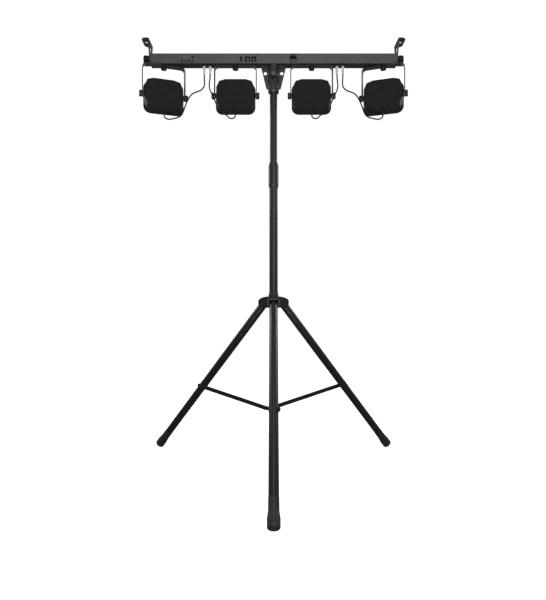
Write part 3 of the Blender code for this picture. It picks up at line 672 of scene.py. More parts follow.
def make_mast():
    """Both tubes, the collar that clamps them and the lower collar, with a lug and a pin for each brace."""
    make_tube("mast_lower_tube", OUTER_R, 0.0015, "mast", "mast_outer_tube")
    make_tube("mast_upper_tube", INNER_R, 0.0014, "mast_inner", "mast_inner_tube")
    foot = heights("mast_outer_tube")[0]
    plug = lathe(soften([
        (0, foot + 0.014), (OUTER_R - 0.0016, foot + 0.014), (OUTER_R - 0.0016, foot - 0.0002),
        (OUTER_R - 0.0006, foot - 0.0006), (OUTER_R - 0.001, foot - 0.0022), (0, foot - 0.0026),
    ], 0.0004), 48)
    piece("mast_end_plug", plug, "mast", PLASTIC, at=ON_MAST)

    low, high = heights("mast_collar")
    sleeve = lathe(soften([
        (OUTER_R + GAP, low), (OUTER_R + 0.0012, low), (OUTER_R + 0.0013, low + 0.0025),
        (COLLAR_R - 0.0006, low + 0.0066), (COLLAR_R, low + 0.008), (COLLAR_R, low + 0.0092),
        (COLLAR_R - 0.0014, low + 0.0098), (COLLAR_R - 0.0014, low + 0.0112), (COLLAR_R, low + 0.0118),
        (COLLAR_R, high - 0.009), (COLLAR_R - 0.0008, high - 0.0078), (INNER_R + 0.0034, high - 0.0052),
        (INNER_R + 0.002, high - 0.0046), (INNER_R + 0.002, high - 0.003), (INNER_R + 0.003, high - 0.0024),
        (INNER_R + 0.0028, high), (INNER_R + GAP, high), (INNER_R + GAP, high - 0.01),
    ], 0.0005), 72)
    boss = clamp_boss([(0.0105, 0.01), (0.0094, 0.0185), (0.008, 0.0215), (0.008, 0.0258)], 0.02,
                      "collar_knob_turn")
    piece("mast_collar_sleeve", [moved(sleeve, MAST), boss], "mast", SATIN,
          ["mast_collar"])
    make_knob("collar_clamp_knob", "collar_knob", 0.015, 0.014, 0.0108)

    low, high = heights("brace_collar")
    section = soften([
        (OUTER_R + GAP, low), (BRACE_COLLAR_R - 0.0011, low), (BRACE_COLLAR_R, low + 0.0015),
        (BRACE_COLLAR_R, low + 0.006), (BRACE_COLLAR_R - 0.0007, low + 0.0068),
        (BRACE_COLLAR_R - 0.0007, high - 0.0068), (BRACE_COLLAR_R, high - 0.006),
        (BRACE_COLLAR_R, high - 0.0015), (BRACE_COLLAR_R - 0.0011, high), (OUTER_R + GAP, high),
    ], 0.0006, closed=True)
    shapes = [moved(lathe(section, 72), MAST)]
    inner = BRACE_SIDE - BRACE_T / 2 - GAP
    outline = [(-0.02, 0.0034), *arc((0, 0), 0.0074, 80, -90, 12), (-0.02, -0.011)]
    for side in SIDES:
        own = [
            plate(outline, inner - 0.0032, inner, "Y", edge=0.0006),
            moved(rivet(0.004, inner - 0.001, BRACE_SIDE + BRACE_T / 2 + 0.0003, 0.0062, 0.0022),
                  towards=AHEAD),
            moved(rivet(0.0036, 0.003 - inner, 0.0034 - inner, 0.0052, 0.0014), towards=BACK),
        ]
        shapes += [moved(shape, turn=limb_place("brace", side, 0)) for shape in own]
    heads = screws(0.0024, [(0, MAST_Y - 0.019, (low + high) / 2 + rise) for rise in (-0.006, 0.006)], BACK)
    piece("lower_collar", shapes, "mast", CAST, ["brace_collar"])
    piece("lower_collar_screws", heads, "mast", DARK_STEEL)


# ---- tripod ----

SIDES = {"front": -90, "right": 30, "left": 150}
LEG_TILT = math.radians(41.1)
LEG_R = 0.0158
LEG_TOP = 0.012
LEG_LONG = 0.811
BRACE_ON_LEG = 0.4545
BRACE_TILT = math.radians(79.05)
BRACE_LONG = 0.3196
BRACE_WIDE = 0.0168
BRACE_TAIL, BRACE_TIP = 0.01, 0.008        # how far the strap runs on past its two pivots
BRACE_T = 0.0032
BRACE_SIDE = 0.019
FOOT_R = 0.0196
FOOT_SLEEVE = 0.07
HUB_R = 0.0214


def limb_place(kind, side, tilt):
    """From a leg's or brace's own axes to the row frame: its pivot is the origin and it lies along Z."""
    turn = Matrix.Rotation(math.radians(SIDES[side]), 4, "Z") @ Matrix.Rotation(tilt, 4, "Y")
    return Matrix.Translation(pivot(f"{kind}_{side}_fold")) @ turn


def make_leg(side):
    """A leg's tube, with a band and a boss for its brace, and its rubber foot, cut flat by the floor."""
    place = limb_place("leg", side, -LEG_TILT)
    body = f"leg_{side}"
    wall, plug = 0.0013, -LEG_LONG + 0.05
    tube = lathe(soften([
        (0, LEG_TOP), (0.008, LEG_TOP), (0.0118, 0.0085), (0.0142, 0.002), (LEG_R, -0.007),
        (LEG_R, -LEG_LONG), (LEG_R - wall, -LEG_LONG), (LEG_R - wall, plug), (0, plug),
    ], 0.0012), 72)
    joint = (0, 0, -BRACE_ON_LEG)
    boss_end = BRACE_SIDE - BRACE_T / 2 - 0.0006
    boss = lathe(soften([
        (0, 0.01), (0.0098, 0.01), (0.0084, 0.015), (0.0068, boss_end - 0.001), (0.0068, boss_end),
        (0, boss_end),
    ], 0.0004), 40)
    band = soften([
        (LEG_R - 0.0004, -0.013), (LEG_R + 0.0007, -0.0125), (LEG_R + 0.0007, 0.0125),
        (LEG_R - 0.0004, 0.013),
    ], 0.0004, 2, closed=True)
    nut = rivet(0.003, LEG_R - 0.002, LEG_R + 0.0006, 0.005, 0.0018)
    shapes = [tube, moved(boss, joint, AHEAD), moved(lathe(band, 64), joint), moved(nut, joint, BACK)]
    piece(f"leg_tube_{side}", shapes, body, SATIN, [body], place)

    top, end = -LEG_LONG + FOOT_SLEEVE, -LEG_LONG - 0.0198
    foot = [
        (0, top), (LEG_R - 0.0003, top), (LEG_R + 0.0004, top), (LEG_R + 0.0006, top - 0.0012),
        (LEG_R + 0.0007, top - 0.037), (LEG_R + 0.0012, top - 0.042), (FOOT_R - 0.0004, top - 0.056),
    ]
    for high in (top - 0.059, top - 0.066):
        foot += [(FOOT_R - 0.0004, high), (FOOT_R, high - 0.0012), (FOOT_R, high - 0.0046),
                 (FOOT_R - 0.0009, high - 0.0056), (FOOT_R - 0.0009, high - 0.0064)]
    foot += [(FOOT_R, end + 0.009), (FOOT_R - 0.0006, end + 0.0042), (FOOT_R - 0.0048, end), (0, end)]
    sole = moved(lathe(soften(foot, 0.0012), 72), turn=place)
    ground = block((-0.8, 0.8), (-0.8, 0.8), (-0.05, 0.0), edge=0)
    piece(f"foot_cap_{side}", carve(sole, [ground]), body, RUBBER, [f"foot_{side}"])


def make_brace(side):
    """A flat strap with round ends, a raised bead along it and the pin that joins it to its leg."""
    near, far = BRACE_SIDE - BRACE_T / 2, BRACE_SIDE + BRACE_T / 2

    def slot(half, low, high, steps):
        return arc((0, low), half, 180, 360, steps) + arc((0, high), half, 0, 180, steps)

    strap = plate(slot(BRACE_WIDE / 2, -BRACE_TAIL, BRACE_LONG + BRACE_TIP, 16), near, far, "Y",
                  edge=0.0007, steps=3)
    pin = moved(rivet(0.004, 0.0172, far, 0.006, 0.0022), (0, 0, BRACE_LONG), AHEAD)
    bead = plate(slot(0.0028, 0.022, BRACE_LONG - 0.022, 10), far - 0.0005, far + 0.0009, "Y",
                 edge=0.0006, steps=3)
    piece(f"brace_strap_{side}", [strap, pin, bead], f"brace_{side}", SATIN,
          [f"brace_{side}"], limb_place("brace", side, BRACE_TILT))


def make_hub():
    """The sliding hub: a ring with a cone on top, and a hooded pair of ears over each leg's end."""
    low, high = heights("leg_hub")
    bore = OUTER_R + GAP
    section = soften([
        (bore, 0), (HUB_R, 0), (HUB_R, 0.043), (HUB_R - 0.0006, 0.0438), (0.0186, 0.0552),
        (0.0177, 0.056), (0.0176, high - low), (bore, high - low),
    ], 0.0008, closed=True)
    shapes = [moved(lathe(section, 72), (0, MAST_Y, low))]
    ear_side, ear_t, top = LEG_R + 0.0006, 0.0032, 0.0414
    outline = soften([
        (0.012, 0), (0.0475, 0), (0.0555, 0.008), (0.0555, top - 0.009),
        (0.052, top - 0.006), (0.042, top - 0.0015), (0.03, top + 0.0015), (0.012, top + 0.003),
    ], 0.003, 4, closed=True)
    hood = soften([
        (0.015, top - 0.003), (0.03, top - 0.004), (0.043, top - 0.007), (0.044, top - 0.0046),
        (0.03, top + 0.0012), (0.015, top + 0.0026),
    ], 0.0012, closed=True)
    hood_span = (-ear_side - 0.001, ear_side + 0.001)
    pin_at = Vector((0.045, 0, pivot("leg_front_fold").z - low))
    for azimuth in SIDES.values():
        place = Matrix.Translation((0, MAST_Y, low)) @ Matrix.Rotation(math.radians(azimuth), 4, "Z")
        own = [
            plate(hood, *hood_span, "Y", edge=0.0005),
            block((0.0415, 0.0447), hood_span, (top - 0.0118, top - 0.0048), edge=0.0008),
        ]
        for way in (-1, 1):
            out = Vector((0, way, 0))
            flange = sorted((way * (ear_side + 0.001), way * (ear_side + ear_t + 0.0052)))
            pin = rivet(0.0036, 0.01, ear_side + ear_t + 0.0006, 0.0054, 0.0016)
            own += [
                plate(outline, *sorted((way * ear_side, way * (ear_side + ear_t))), "Y",
                      edge=0.0007, steps=3),
                block((0.0527, 0.0554), flange, (0.009, top - 0.01), edge=0.001),
                moved(washer(0.0072, 0.003, 0.0008), pin_at + out * (ear_side + ear_t), out),
                moved(pin, pin_at, out),
            ]
        shapes += [moved(shape, turn=place) for shape in own]
    shapes.append(clamp_boss([(0.0115, 0.012), (0.01, 0.0225), (0.0085, 0.0245), (0.0085, 0.0297)], 0.024,
                             "hub_knob_turn"))
    piece("hub_casting", shapes, "hub", CAST, ["leg_hub"])
    make_knob("hub_clamp_knob", "hub_knob", 0.015, 0.014, 0.013)


make_mast()
make_hub()
for side_name in SIDES:
    make_leg(side_name)
    make_brace(side_name)

# ---- socket, bar and what is set in it ----

SOCKET_R = BOX["mast_socket"][1].y - MAST_Y
FACE_Y = MAST_Y - BAR_DEEP                 # the bar's back face, which holds the controls
BUTTONS = (1, 2, 3, 4)
CONTROL_X, CONTROL_Z = (-0.374, -0.286), (1.571, 1.603)
POWER_X, POWER_Z = (-0.14, -0.062), (1.571, 1.6)
SIGNAL = Vector((0.0765, 0, 1.5885))
SIGNAL_R = 0.0116


def inset(span, margin):
    """A (low, high) pair drawn in at both ends."""
    return span[0] + margin, span[1] - margin


def weld(start, end, radius=0.0011):
    """A weld bead along a straight seam: a string of overlapping ripples."""
    start, end = Vector(start), Vector(end)
    count = int((end - start).length / radius)
    along = (end - start).normalized()
    across = along.orthogonal().normalized()
    loops = []
    for i in range(count + 1):
        swell = radius * (1.0 + 0.13 * math.cos(i * math.pi) + 0.06 * math.sin(i * 1.7))
        if i in (0, count):
            swell *= 0.45
        loops.append(cross_section(start.lerp(end, i / count), across, along.cross(across), swell, 12))
    return loft(loops)


def make_socket():
    """The tube that stands on the mast's top, welded to its gusset."""
    low, top, bore = heights("mast_socket")[0], BAR_LOW - GAP, INNER_R + GAP
    tube_r = SOCKET_R - 0.0012
    section = soften([
        (bore, low), (SOCKET_R - 0.001, low), (SOCKET_R, low + 0.001), (SOCKET_R, low + 0.012),
        (tube_r, low + 0.013), (tube_r, top), (bore, top),
    ], 0.0007, closed=True)
    piece("socket_tube", lathe(section, 72), "bar", SOCKET, ["mast_socket"], ON_MAST)
    gusset = soften([(-0.0278, 1.4763), (0.0278, 1.4763), (0.05, top - 0.0002), (-0.05, top - 0.0002)],
                    0.003, 4, closed=True)
    holes = [circle((way * 0.0321, 1.5378), 0.0066, 40) for way in (-1, 1)]
    web = plate(gusset, -0.002, 0.002, "Y", holes, edge=0.0005, steps=3)
    shapes = [moved(carve(web, [rod(SOCKET_R - 0.0016, low + 0.001, top + 0.01, 64)]), MAST)]
    seam_x = math.sqrt(tube_r ** 2 - 0.0022 ** 2) + 0.0004
    for way in (-1, 1):
        for y in (MAST_Y - 0.0024, MAST_Y + 0.0024):
            shapes.append(weld((way * seam_x, y, 1.479), (way * seam_x, y, top - 0.001)))
            shapes.append(weld((way * 0.047, y, top - 0.0006), (way * 0.024, y, top - 0.0006)))
    piece("socket_gusset", shapes, "bar", GUSSET)
    knob_at = pivot("socket_knob_turn")
    nut = moved(rod(0.0082, 0.001, -0.003, 40, 0.0004), knob_at, BACK)
    piece("socket_nut", nut, "bar", GREY)
    make_knob("socket_clamp_knob", "socket_knob", 0.0118, 0.023, 0.003, base=0.0012, flutes=14)
    cap = lathe(soften([(0, 0), (0.0092, 0), (0.0092, 0.0012), (0, 0.0017)], 0.0004), 40)
    cap = moved(cap, knob_at + 0.0218 * Vector(BACK), BACK)
    piece("socket_knob_cap", cap, "socket_knob", GREY)


def make_bar():
    """The bar's housing with its openings, end caps and screws."""
    floor_t = 0.0012
    shell = block((-BAR_HALF, BAR_HALF), (-BAR_DEEP, BAR_DEEP), (BAR_LOW + floor_t, BAR_HIGH), edge=0)
    tools = [
        block(CONTROL_X, (-BAR_DEEP - 0.01, -BAR_DEEP + 0.005), CONTROL_Z, edge=0),
        block(POWER_X, (-BAR_DEEP - 0.01, -BAR_DEEP + 0.016), POWER_Z, edge=0),
        moved(rod(0.0126, 0.003, 0.03), SIGNAL, BACK),
        block((-0.47, 0.47), (-0.0003, 0.0003), (BAR_HIGH - 0.0004, BAR_HIGH + 0.01), edge=0),
    ]
    # Shallow seams show where the end caps and the lid meet the body.
    for x in (0.006 - BAR_HALF, BAR_HALF - 0.006):
        slab = block((x - 0.0002, x + 0.0002), (-0.03, 0.03), (BAR_LOW - 0.01, BAR_HIGH + 0.01), edge=0)
        core = block((x - 0.01, x + 0.01), (-BAR_DEEP + 0.0004, BAR_DEEP - 0.0004),
                     (BAR_LOW + 0.0004, BAR_HIGH - 0.0004), edge=0)
        tools.append(carve(slab, [core]))
    housing = round_edges(carve(shell, tools), 0.0008, 3)
    piece("light_bar", housing, "bar", GREY, ["bar_housing"], ON_MAST)
    # Painted shade: the base plate is very dark plastic so that the bar's underside stays dark as if in
    # shadow.
    base = block(inset((-BAR_HALF, BAR_HALF), 0.0006), inset((-BAR_DEEP, BAR_DEEP), 0.0006),
                 (BAR_LOW, BAR_LOW + floor_t + 0.0004))
    piece("bar_base_plate_painted_shade", base, "bar", PLASTIC, at=ON_MAST)
    lid_x = (-0.44, -0.3, -0.2, 0.02, 0.2, 0.31, 0.44)
    base_x = (-0.36, -0.22, -0.085, 0.085, 0.22, 0.36)
    heads = screws(0.0022, [(x, MAST_Y + BAR_DEEP, BAR_LOW + 0.008) for x in lid_x], AHEAD)
    heads += screws(0.0022, [(x, MAST_Y + y, BAR_HIGH) for x in lid_x for y in (0.012, -0.012)], (0, 0, 1))
    heads += screws(0.002, [(x, MAST_Y + y, BAR_LOW) for x in base_x for y in (-0.0145, 0.0145)], DOWN)
    heads += screws(0.0024, [(0.1097, FACE_Y, 1.5865)], BACK)
    piece("bar_screws", heads, "bar", DARK_STEEL)


def make_control_panel():
    """The menu's faceplate, with its display, four buttons and a microphone."""
    front = -BAR_DEEP - 0.0006
    back = front + 0.002
    buttons = {}
    for number in BUTTONS:
        low, high = BOX[f"menu_button_{number}"]
        buttons[number] = (low.x + high.x) / 2
    button_z = (low.z + high.z) / 2
    window_x, window_z = (-0.3495, -0.3215), (1.5875, 1.5985)
    mic_x, mic_z, mic_r = -0.3122, 1.5925, 0.0034
    holes = [circle((x, button_z), 0.0033, 28) for x in buttons.values()]
    holes += [rectangle(window_x, window_z, 0.0012), circle((mic_x, mic_z), mic_r, 28)]
    outline = rectangle(inset(CONTROL_X, 0.0003), inset(CONTROL_Z, 0.0003), 0.0016)
    face = plate(outline, front, back, "Y", holes)
    piece("control_face", face, "bar", GREY, ["control_panel"], ON_MAST)

    outline = rectangle(inset(window_x, -0.0006), inset(window_z, -0.0006), 0.0012)
    glass = plate(outline, front + 0.0009, back, "Y", edge=0)
    piece("display_window", glass, "bar", GLASS, at=ON_MAST)
    segments = []
    for digit in range(4):
        x = window_x[0] + 0.0032 + 0.0061 * digit
        strokes = [(x, x + 0.003, z - 0.0003, z + 0.0003) for z in (1.5901, 1.5931, 1.596)]
        strokes += [(side - 0.0003, side + 0.0003, z - 0.0012, z + 0.0012)
                    for side in (x - 0.0004, x + 0.0034) for z in (1.5915, 1.5946)]
        segments += [block((a, b), (front + 0.0007, front + 0.001), (c, d), 0) for a, b, c, d in strokes]
    piece("display_segments", segments, "bar", REFLECTOR, at=ON_MAST)
    bezel = plate(rectangle(inset(window_x, -0.0013), inset(window_z, -0.0013), 0.0018), front - 0.0004,
                  front + 0.0004, "Y", [rectangle(window_x, window_z, 0.001)], edge=0.0002)
    piece("display_bezel", bezel, "bar", GREY, at=ON_MAST)

    rims = [moved(washer(0.0045, 0.0033, 0.0004), (x, front, button_z), BACK) for x in buttons.values()]
    rims.append(moved(washer(0.005, mic_r, 0.0004), (mic_x, front, mic_z), BACK))
    piece("control_rings", rims, "bar", BUTTON, at=ON_MAST)
    slits = [
        moved(rod(0.00045, -0.001, 0.002, 10), (*polar(0.0019, 360 * k / 7), 0)) for k in range(7)
    ]
    grille = moved(carve(rod(mic_r, 0, 0.0006, 28), slits), (mic_x, back - 0.0001, mic_z), BACK)
    piece("microphone_grille", grille, "bar", BUTTON, at=ON_MAST)
    corners = [(x, FACE_Y - 0.0006, z) for x in inset(CONTROL_X, 0.0028) for z in inset(CONTROL_Z, 0.0026)]
    piece("control_screws", screws(0.0013, corners, BACK), "bar", DARK_STEEL)
    high = BAR_DEEP + 0.002
    for number, x in buttons.items():
        cap = lathe(soften([
            (0, 0.0185), (0.004, 0.0185), (0.004, 0.0188), (0.003, 0.019), (0.003, high - 0.0003),
            (0.0024, high), (0.0012, high - 0.00025), (0, high - 0.0003),
        ], 0.0003, 2), 32)
        body = f"menu_button_{number}"
        piece(f"{body}_cap", moved(cap, (x, MAST_Y, button_z), BACK), body, BUTTON, [body])


def make_power_panel():
    """The power block: a fuse slot, a mains inlet and a mains outlet behind a thin frame."""
    front, middle = -BAR_DEEP - 0.0002, 1.5855
    pockets = [(-0.1297, -0.1213), (-0.1104, -0.0904), (-0.086, -0.067)]
    pocket_z = (middle - 0.01, middle + 0.01)
    outline = rectangle(inset(POWER_X, 0.0001), inset(POWER_Z, 0.0001), 0.0006)
    holes = [rectangle(x, pocket_z, 0.0012) for x in pockets]
    face = plate(outline, front, front + 0.0016, "Y", holes, edge=0.0002)
    piece("power_face", face, "bar", GREY, ["power_panel"], ON_MAST)
    body = carve(
        block(inset(POWER_X, 0.0008), (front + 0.001, front + 0.0145), inset(POWER_Z, 0.0008), edge=0),
        [block(x, (front - 0.01, front + 0.0125), pocket_z, edge=0) for x in pockets],
    )
    # The fuse drawer in the slot has a thumb ridge.
    shapes = [
        round_edges(body, 0.0003, 2),
        block(inset(pockets[0], 0.0008), (front + 0.003, front + 0.012), inset(pocket_z, 0.0008), 0.0005),
        block(inset(pockets[0], 0.002), (front + 0.0018, front + 0.004), inset(pocket_z, 0.008), 0.0005),
    ]
    metal, cores = [], []
    for pocket, rise in zip(pockets[1:], (0.01, 0.007)):
        x = sum(pocket) / 2
        shapes.append(moved(washer(0.0092, 0.0074, 0.01), (x, front + 0.012, middle), BACK))
        cores.append(moved(rod(0.006, 0, rise, 40, 0.0006), (x, front + 0.0125, middle), BACK))
        for angle in (90, 210, 330):
            across, up = polar(0.0034, angle)
            blade = block((-0.0006, 0.0006), (-0.0013, 0.0013), (0, rise + 0.0004), edge=0.0002)
            metal.append(moved(blade, (x + across, front + 0.0124, middle + up), BACK))
    piece("power_sockets", shapes, "bar", PLASTIC, at=ON_MAST)
    piece("power_socket_cores", cores, "bar", SOCKET, at=ON_MAST)
    piece("power_contacts", metal, "bar", NICKEL, at=ON_MAST)
    corners = [(x, FACE_Y - 0.0002, z) for x in (-0.1368, -0.0646) for z in (1.5737, 1.5975)]
    piece("power_screws", screws(0.0014, corners, BACK), "bar", DARK_STEEL)


def make_signal_socket():
    """A round data socket: flange, metal shell, insert with pins and a latch."""
    place = Vector((SIGNAL.x, FACE_Y - GAP, SIGNAL.z))
    hole = [circle((0, 0), SIGNAL_R, 48)]

    def square(half_wide, half_high, corner):
        return rectangle((-half_wide, half_wide), (-half_high, half_high), corner, 6)

    flange = plate(square(0.013, 0.015, 0.003), -0.0016, 0.0, "Y", hole, steps=3)
    rim = ring(SIGNAL_R, SIGNAL_R + 0.0014, -0.0004, 0.0006, 0.0003, 64)
    cup = lathe(soften([
        (0, -0.0115), (0.0122, -0.0115), (0.0122, -0.0003), (SIGNAL_R, -0.0003), (SIGNAL_R, -0.0095),
        (0, -0.0095),
    ], 0.0005), 64)
    gasket = plate(square(0.0138, 0.0158, 0.0036), -0.0003, 0.0, "Y", hole, edge=0)
    latch = block((-0.0076, 0.0076), (-0.0032, -0.0012), (0.008, 0.013), edge=0.0006)
    shapes = [
        moved(rim, place + Vector((0, -0.0014, 0)), BACK), moved(cup, place, BACK),
        moved(gasket, place), moved(latch, place),
    ]
    piece("signal_socket_body", shapes, "bar", PLASTIC, ["signal_socket"])
    piece("signal_flange", moved(flange, place), "bar", GREY)
    # Painted light: the grey insert fills only the lower half of the recess, where the light falls.
    insert = soften(arc((0, 0), SIGNAL_R - 0.0005, 189, 351, 28), 0.0006, 2, closed=True)
    insert = plate(insert, 0.002, 0.009, "Y", edge=0.0006)
    piece("signal_insert_painted_light", moved(insert, place), "bar", GREY)
    # Painted shade: the pins are dark plastic to match the shaded upper half of the recess.
    pins = []
    for angle in (30, 60, 90, 120, 150):
        across, up = polar(0.0062, angle)
        pin = lathe(soften([(0, 0), (0.0009, 0), (0.0009, 0.003), (0, 0.0034)], 0.0004), 16)
        pins.append(moved(pin, (SIGNAL.x + across, FACE_Y + 0.0092, SIGNAL.z + up), BACK))
    piece("signal_pins_painted_shade", pins, "bar", BUTTON)
    corners = [place + Vector((way * 0.0102, -0.0016, way * -0.0122)) for way in (-1, 1)]
    piece("signal_screws", screws(0.0013, corners, BACK), "bar", DARK_STEEL)


def make_bracket(name, way):
    """An end bracket: a tapered strap with a window, bent out into a flange with a bolt hole."""
    near = way * (BAR_HALF + GAP)
    far, out = near + way * 0.003, near + way * 0.03
    top = heights(f"bracket_{name}")[1] - BAR_MID
    half, corner = 0.0355, 0.01
    strap = [
        (half, top - 0.001), (-half, top - 0.001), (-half, top - 0.004), *arc((0, 0), 0.0155, 180, 360, 20),
        (half, top - 0.004),
    ]
    window = [(-0.0055, 0.029), (0.0055, 0.029), (0.0125, 0.051), (-0.0125, 0.051)]
    flange = [
        (near, half), (near, -half), (out - way * corner, -half), (out, -half + corner),
        (out, half - corner), (out - way * corner, half),
    ]
    bend = rod(0.0022, -half + 0.001, half - 0.001, 24)
    shapes = [
        plate(strap, *sorted((near, far)), "X", [soften(window, 0.002, 4, closed=True)],
              edge=0.0006, steps=3),
        plate(soften(flange, 0.002, 4, closed=True), top - 0.003, top, "Z",
              [circle((way * 0.497, 0), 0.0056, 36)], edge=0.0006, steps=3),
        moved(bend, (far - way * 0.0004, 0, top - 0.0034), AHEAD),
        moved(washer(0.0095, 0.006, 0.0008), (far, 0, 0), (way, 0, 0)),
    ]
    piece(f"end_bracket_{name}", shapes, f"bracket_{name}", SATIN, [f"bracket_{name}"],
          Matrix.Translation((0, MAST_Y, BAR_MID)))
    make_knob(f"end_knob_{name}", f"bracket_knob_{name}", 0.0198, 0.0222, 0.006, base=0.001, flutes=22)


def make_cable_entry(name, way):
    """A dark plate under the bar with the pale ribbed strain reliefs of two lamp cables."""
    under, low = BAR_LOW - GAP, heights(f"cable_entry_{name}")[0]
    entries = (0.2481, 0.271)
    middle = way * sum(entries) / 2
    outline = rectangle((middle - 0.02, middle + 0.02), (-0.0085, 0.0085), 0.003)
    base, sleeves = [moved(plate(outline, under - 0.0022, under, edge=0.0005), MAST)], []
    for x in entries:
        height, radius = under - 0.008, 0.0055
        profile = [(0, under - 0.0015), (0.0062, under - 0.0015), (0.0062, under - 0.0065)]
        while height > low + 0.0035:
            profile += [(radius, height), (radius, height - 0.002), (radius - 0.0006, height - 0.0024),
                        (radius - 0.0006, height - 0.003)]
            height -= 0.0034
            radius -= 0.00014
        profile += [(radius, height), (radius, low + 0.0006), (radius - 0.0006, low), (0, low)]
        sleeves.append(moved(lathe(soften(profile, 0.0005, 2), 36), (way * x, MAST_Y, 0)))
        nut = lathe([(0, 0), (0.0067, 0), (0.0067, 0.0034), (0.0063, 0.004), (0, 0.004)], 6)
        base.append(moved(nut, (way * x, MAST_Y, under - 0.002), DOWN))
    heads = screws(0.0014, [(middle + x, MAST_Y, under - 0.0022) for x in (-0.0176, 0, 0.0176)], DOWN)
    piece(f"strain_reliefs_{name}", sleeves, "bar", PALE, [f"cable_entry_{name}"])
    piece(f"entry_plate_{name}", base, "bar", PLASTIC)
    piece(f"entry_screws_{name}", heads, "bar", DARK_STEEL)


make_socket()
make_bar()
make_control_panel()
make_power_panel()
make_signal_socket()
for side_name, outward in (("left", -1), ("right", 1)):
    make_bracket(side_name, outward)
    make_cable_entry(side_name, outward)

# ---- yokes and lamps ----

YOKE_HALF = 0.083
YOKE_T = 0.003
YOKE_WIDE = 0.027
YOKE_BEND = 0.017
BOSS_END = YOKE_HALF - YOKE_T - GAP


def make_yoke(number):
    """A U-shaped strap with round ends, its washers and the knob that holds it to the bar."""
    axle = pivot(f"lamp_{number}_tilt").z - BAR_LOW
    foot = axle - YOKE_WIDE / 2
    inside = YOKE_HALF - YOKE_T

    def arch(half, top, bend, steps=12):
        """The strap's outer or inner line, from left to right."""
        return [
            (-half, foot), *arc((bend - half, top - bend), bend, 180, 90, steps),
            *arc((half - bend, top - bend), bend, 90, 0, steps), (half, foot),
        ]

    outline = arch(YOKE_HALF, -GAP, YOKE_BEND) + arch(inside, -GAP - YOKE_T, YOKE_BEND - YOKE_T)[::-1]
    strap = plate(outline, -YOKE_WIDE / 2, YOKE_WIDE / 2, "Y", edge=0)
    half = YOKE_WIDE / 2 - 0.00001
    outline = [(half, 0.01), (-half, 0.01), *arc((0, axle), half, 180, 360, 28)]
    rounded = plate(outline, -0.1, 0.1, "X", edge=0)
    strap = round_edges(carve(strap, [rounded], "INTERSECT"), 0.0005, 2, above=50)
    rims = [moved(washer(0.0098, 0.0042, 0.0007), (way * inside, 0, axle), (-way, 0, 0)) for way in (-1, 1)]
    rims.append(moved(washer(0.01, 0.0042, 0.0008), (0, 0, -GAP - YOKE_T), DOWN))
    place, body = yoke_place(number), f"lamp_{number}_yoke"
    piece(f"{body}_strap", strap, body, YOKE, [body], place)
    piece(f"{body}_washers", rims, body, DARK_STEEL, at=place)
    make_knob(f"{body}_clamp", f"{body}_knob", 0.0114, 0.0122, 0.0085, base=0.0009, flutes=14)


def shell_loop(y, share, inward):
    """The lamp's outline at a depth: share runs from 0 at its back to 1 at its front."""
    half_wide = 0.0735 + 0.003 * share - inward
    half_high = 0.06 + 0.0065 * share - inward
    cut = 0.034 - 0.004 * share - 0.45 * inward
    facet = 0.0104 - 0.0006 * share - 0.2 * inward
    drop = 0.0078 - 0.0004 * share - 0.2 * inward
    side = [
        (half_wide - cut, -half_high), (half_wide - facet, drop - half_high), (half_wide, cut - half_high),
        (half_wide, half_high - cut), (half_wide - facet, half_high - drop), (half_wide - cut, half_high),
    ]
    outline = soften(side + [(-x, z) for x, z in reversed(side)], 0.0014, closed=True)
    return [(x, y, z) for x, z in outline]


def frame_outline(inward):
    """The lens frame's outline: its top corners are rounder than its lower ones."""
    half_wide, half_high = 0.0776 - inward, 0.0685 - inward
    top, low = 0.034 - inward, 0.028 - inward
    return (
        arc((half_wide - top, half_high - top), top, 0, 90, 18)
        + arc((top - half_wide, half_high - top), top, 90, 180, 18)
        + arc((low - half_wide, low - half_high), low, 180, 270, 14)
        + arc((half_wide - low, low - half_high), low, 270, 360, 14)
    )


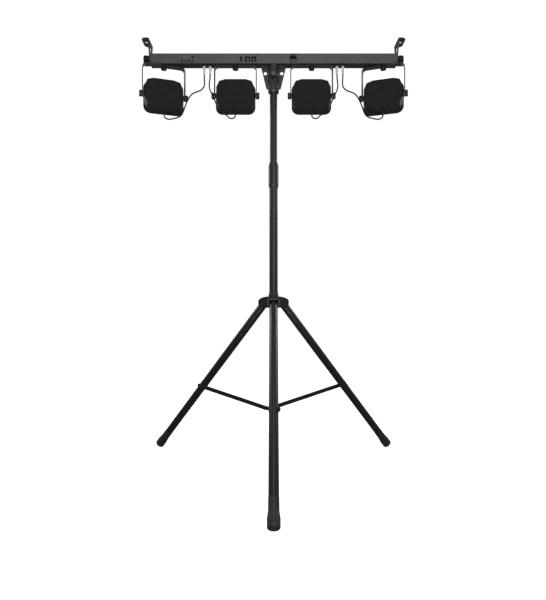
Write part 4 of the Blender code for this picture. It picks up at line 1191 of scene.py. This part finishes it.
def make_lamp(number):
    """The shell with its back panel, bosses and gland, the lens frame, and the lenses in it."""
    body = f"lamp_{number}"
    place = lamp_place(number)

    def add(name, shape, finish, replaces=()):
        piece(f"{body}_{name}", shape, body, finish, replaces, place)

    # Depth, share and inset of each loop, from the recessed back panel to the rim behind the lens frame.
    shapes = [loft([shell_loop(SHELL_BACK + depth, share, inward) for depth, share, inward in (
        (0.0008, 0, 0.0172), (0.0004, 0, 0.0165), (0, 0, 0.0158), (0, 0, 0.0016), (0.0002, 0, 0.0008),
        (0.0006, 0.01, 0.0002), (0.0012, 0.03, 0), (0.029, 0.86, 0), (0.0294, 0.87, 0.0009),
        (0.0304, 0.9, 0.0009), (0.0308, 0.91, 0), (0.0336, 0.99, 0), (0.034, 1, 0.0006), (0.034, 1, 0.012),
    )])]
    boss = soften([(0, 0.066), (0.0095, 0.066), (0.0095, 0.0785), (0.0088, BOSS_END), (0, BOSS_END)], 0.0005)
    shapes += [moved(lathe(boss, 48), towards=(way, 0, 0)) for way in (-1, 1)]
    add("shell_cover", shapes, LAMP, [f"lamp_{number}_shell"])

    nut = lathe([(0, 0.0005), (0.0062, 0.0005), (0.0062, 0.0052), (0.0057, 0.006), (0, 0.006)], 6)
    boot = [(0, 0.005), (0.0052, 0.005), (0.0052, 0.0076)]
    for rib in range(4):
        high, radius = 0.008 + 0.0025 * rib, 0.0047 - 0.0004 * rib
        boot += [(radius, high), (radius, high + 0.0014), (radius - 0.0007, high + 0.0017),
                 (radius - 0.0007, high + 0.0022)]
    boot += [(0.0032, GLAND_LONG - 0.0006), (0.0028, GLAND_LONG), (0, GLAND_LONG)]
    gland = joined([nut, lathe(soften(boot, 0.0004, 2), 32)])
    add("cable_gland", moved(gland, GLAND_PLACE, DOWN), PLASTIC)

    front = BEZEL_FRONT
    add("lens_frame", loft([[(x, y, z) for x, z in frame_outline(inward)] for y, inward in (
        (0.0126, 0.0004), (0.0123, 0.001), (0.0123, 0.01), (0.015, 0.01), (0.015, 0.0078),
        (0.02, 0.0072), (front - 0.0024, 0.007), (front - 0.001, 0.0064), (front, 0.0052),
        (front, 0.0024), (front - 0.0004, 0.0012), (front - 0.0014, 0.0003), (front - 0.0026, 0),
        (0.0134, 0),
    )], closed=True), LAMP, [f"lamp_{number}_lens"])
    # Four rows of five lenses, each in a cup on the board and over three dies.
    cups, optics, dies = [plate(frame_outline(0.0079), 0.0152, 0.018, "Y", edge=0.0003)], [], {}
    dome = [(0.0106 * c, 0.0016 + 0.0034 * s) for c, s in (polar(1, angle) for angle in range(0, 90, 10))]
    for row in range(4):
        for column in range(5):
            spot = Vector(((column - 2) * 0.0262, 0.0178, (row - 1.5) * 0.0272))
            cup = [(0.0098, 0), (0.0118, 0), (0.0118, 0.0016), (0.011, 0.002), (0.0098, 0.0006)]
            cups.append(moved(lathe(soften(cup, 0.0003, 2, closed=True), 40), spot, AHEAD))
            optics.append(moved(lathe([(0, 0.0009), (0.0106, 0.0009), *dome, (0, 0.005)], 40), spot, AHEAD))
            for name, angle in (("red", 90), ("green", 210), ("blue", 330)):
                x, z = polar(0.0019, angle)
                dies.setdefault(name, []).append(block(
                    (spot.x + x - 0.001, spot.x + x + 0.001), (spot.y, spot.y + 0.0007),
                    (spot.z + z - 0.001, spot.z + z + 0.001), edge=0.0002,
                ))
    add("lens_board", cups, REFLECTOR)
    add("led_optics", optics, OPTIC)
    for name, shapes in dies.items():
        add(f"{name}_dies", shapes, DIES[name])
    corners = ((-0.058, -0.0622), (0.058, -0.0622), (-0.04, 0.065), (0.04, 0.065))
    add("lens_frame_screws", screws(0.0018, [(x, front - 0.0003, z) for x, z in corners], AHEAD), DARK_STEEL)
    for side in ("left", "right"):
        make_knob(f"{body}_tilt_clamp_{side}", f"{body}_tilt_knob_{side}", 0.0125, 0.0105, 0.01, flutes=14)


for number in LAMPS:
    make_yoke(number)
    make_lamp(number)
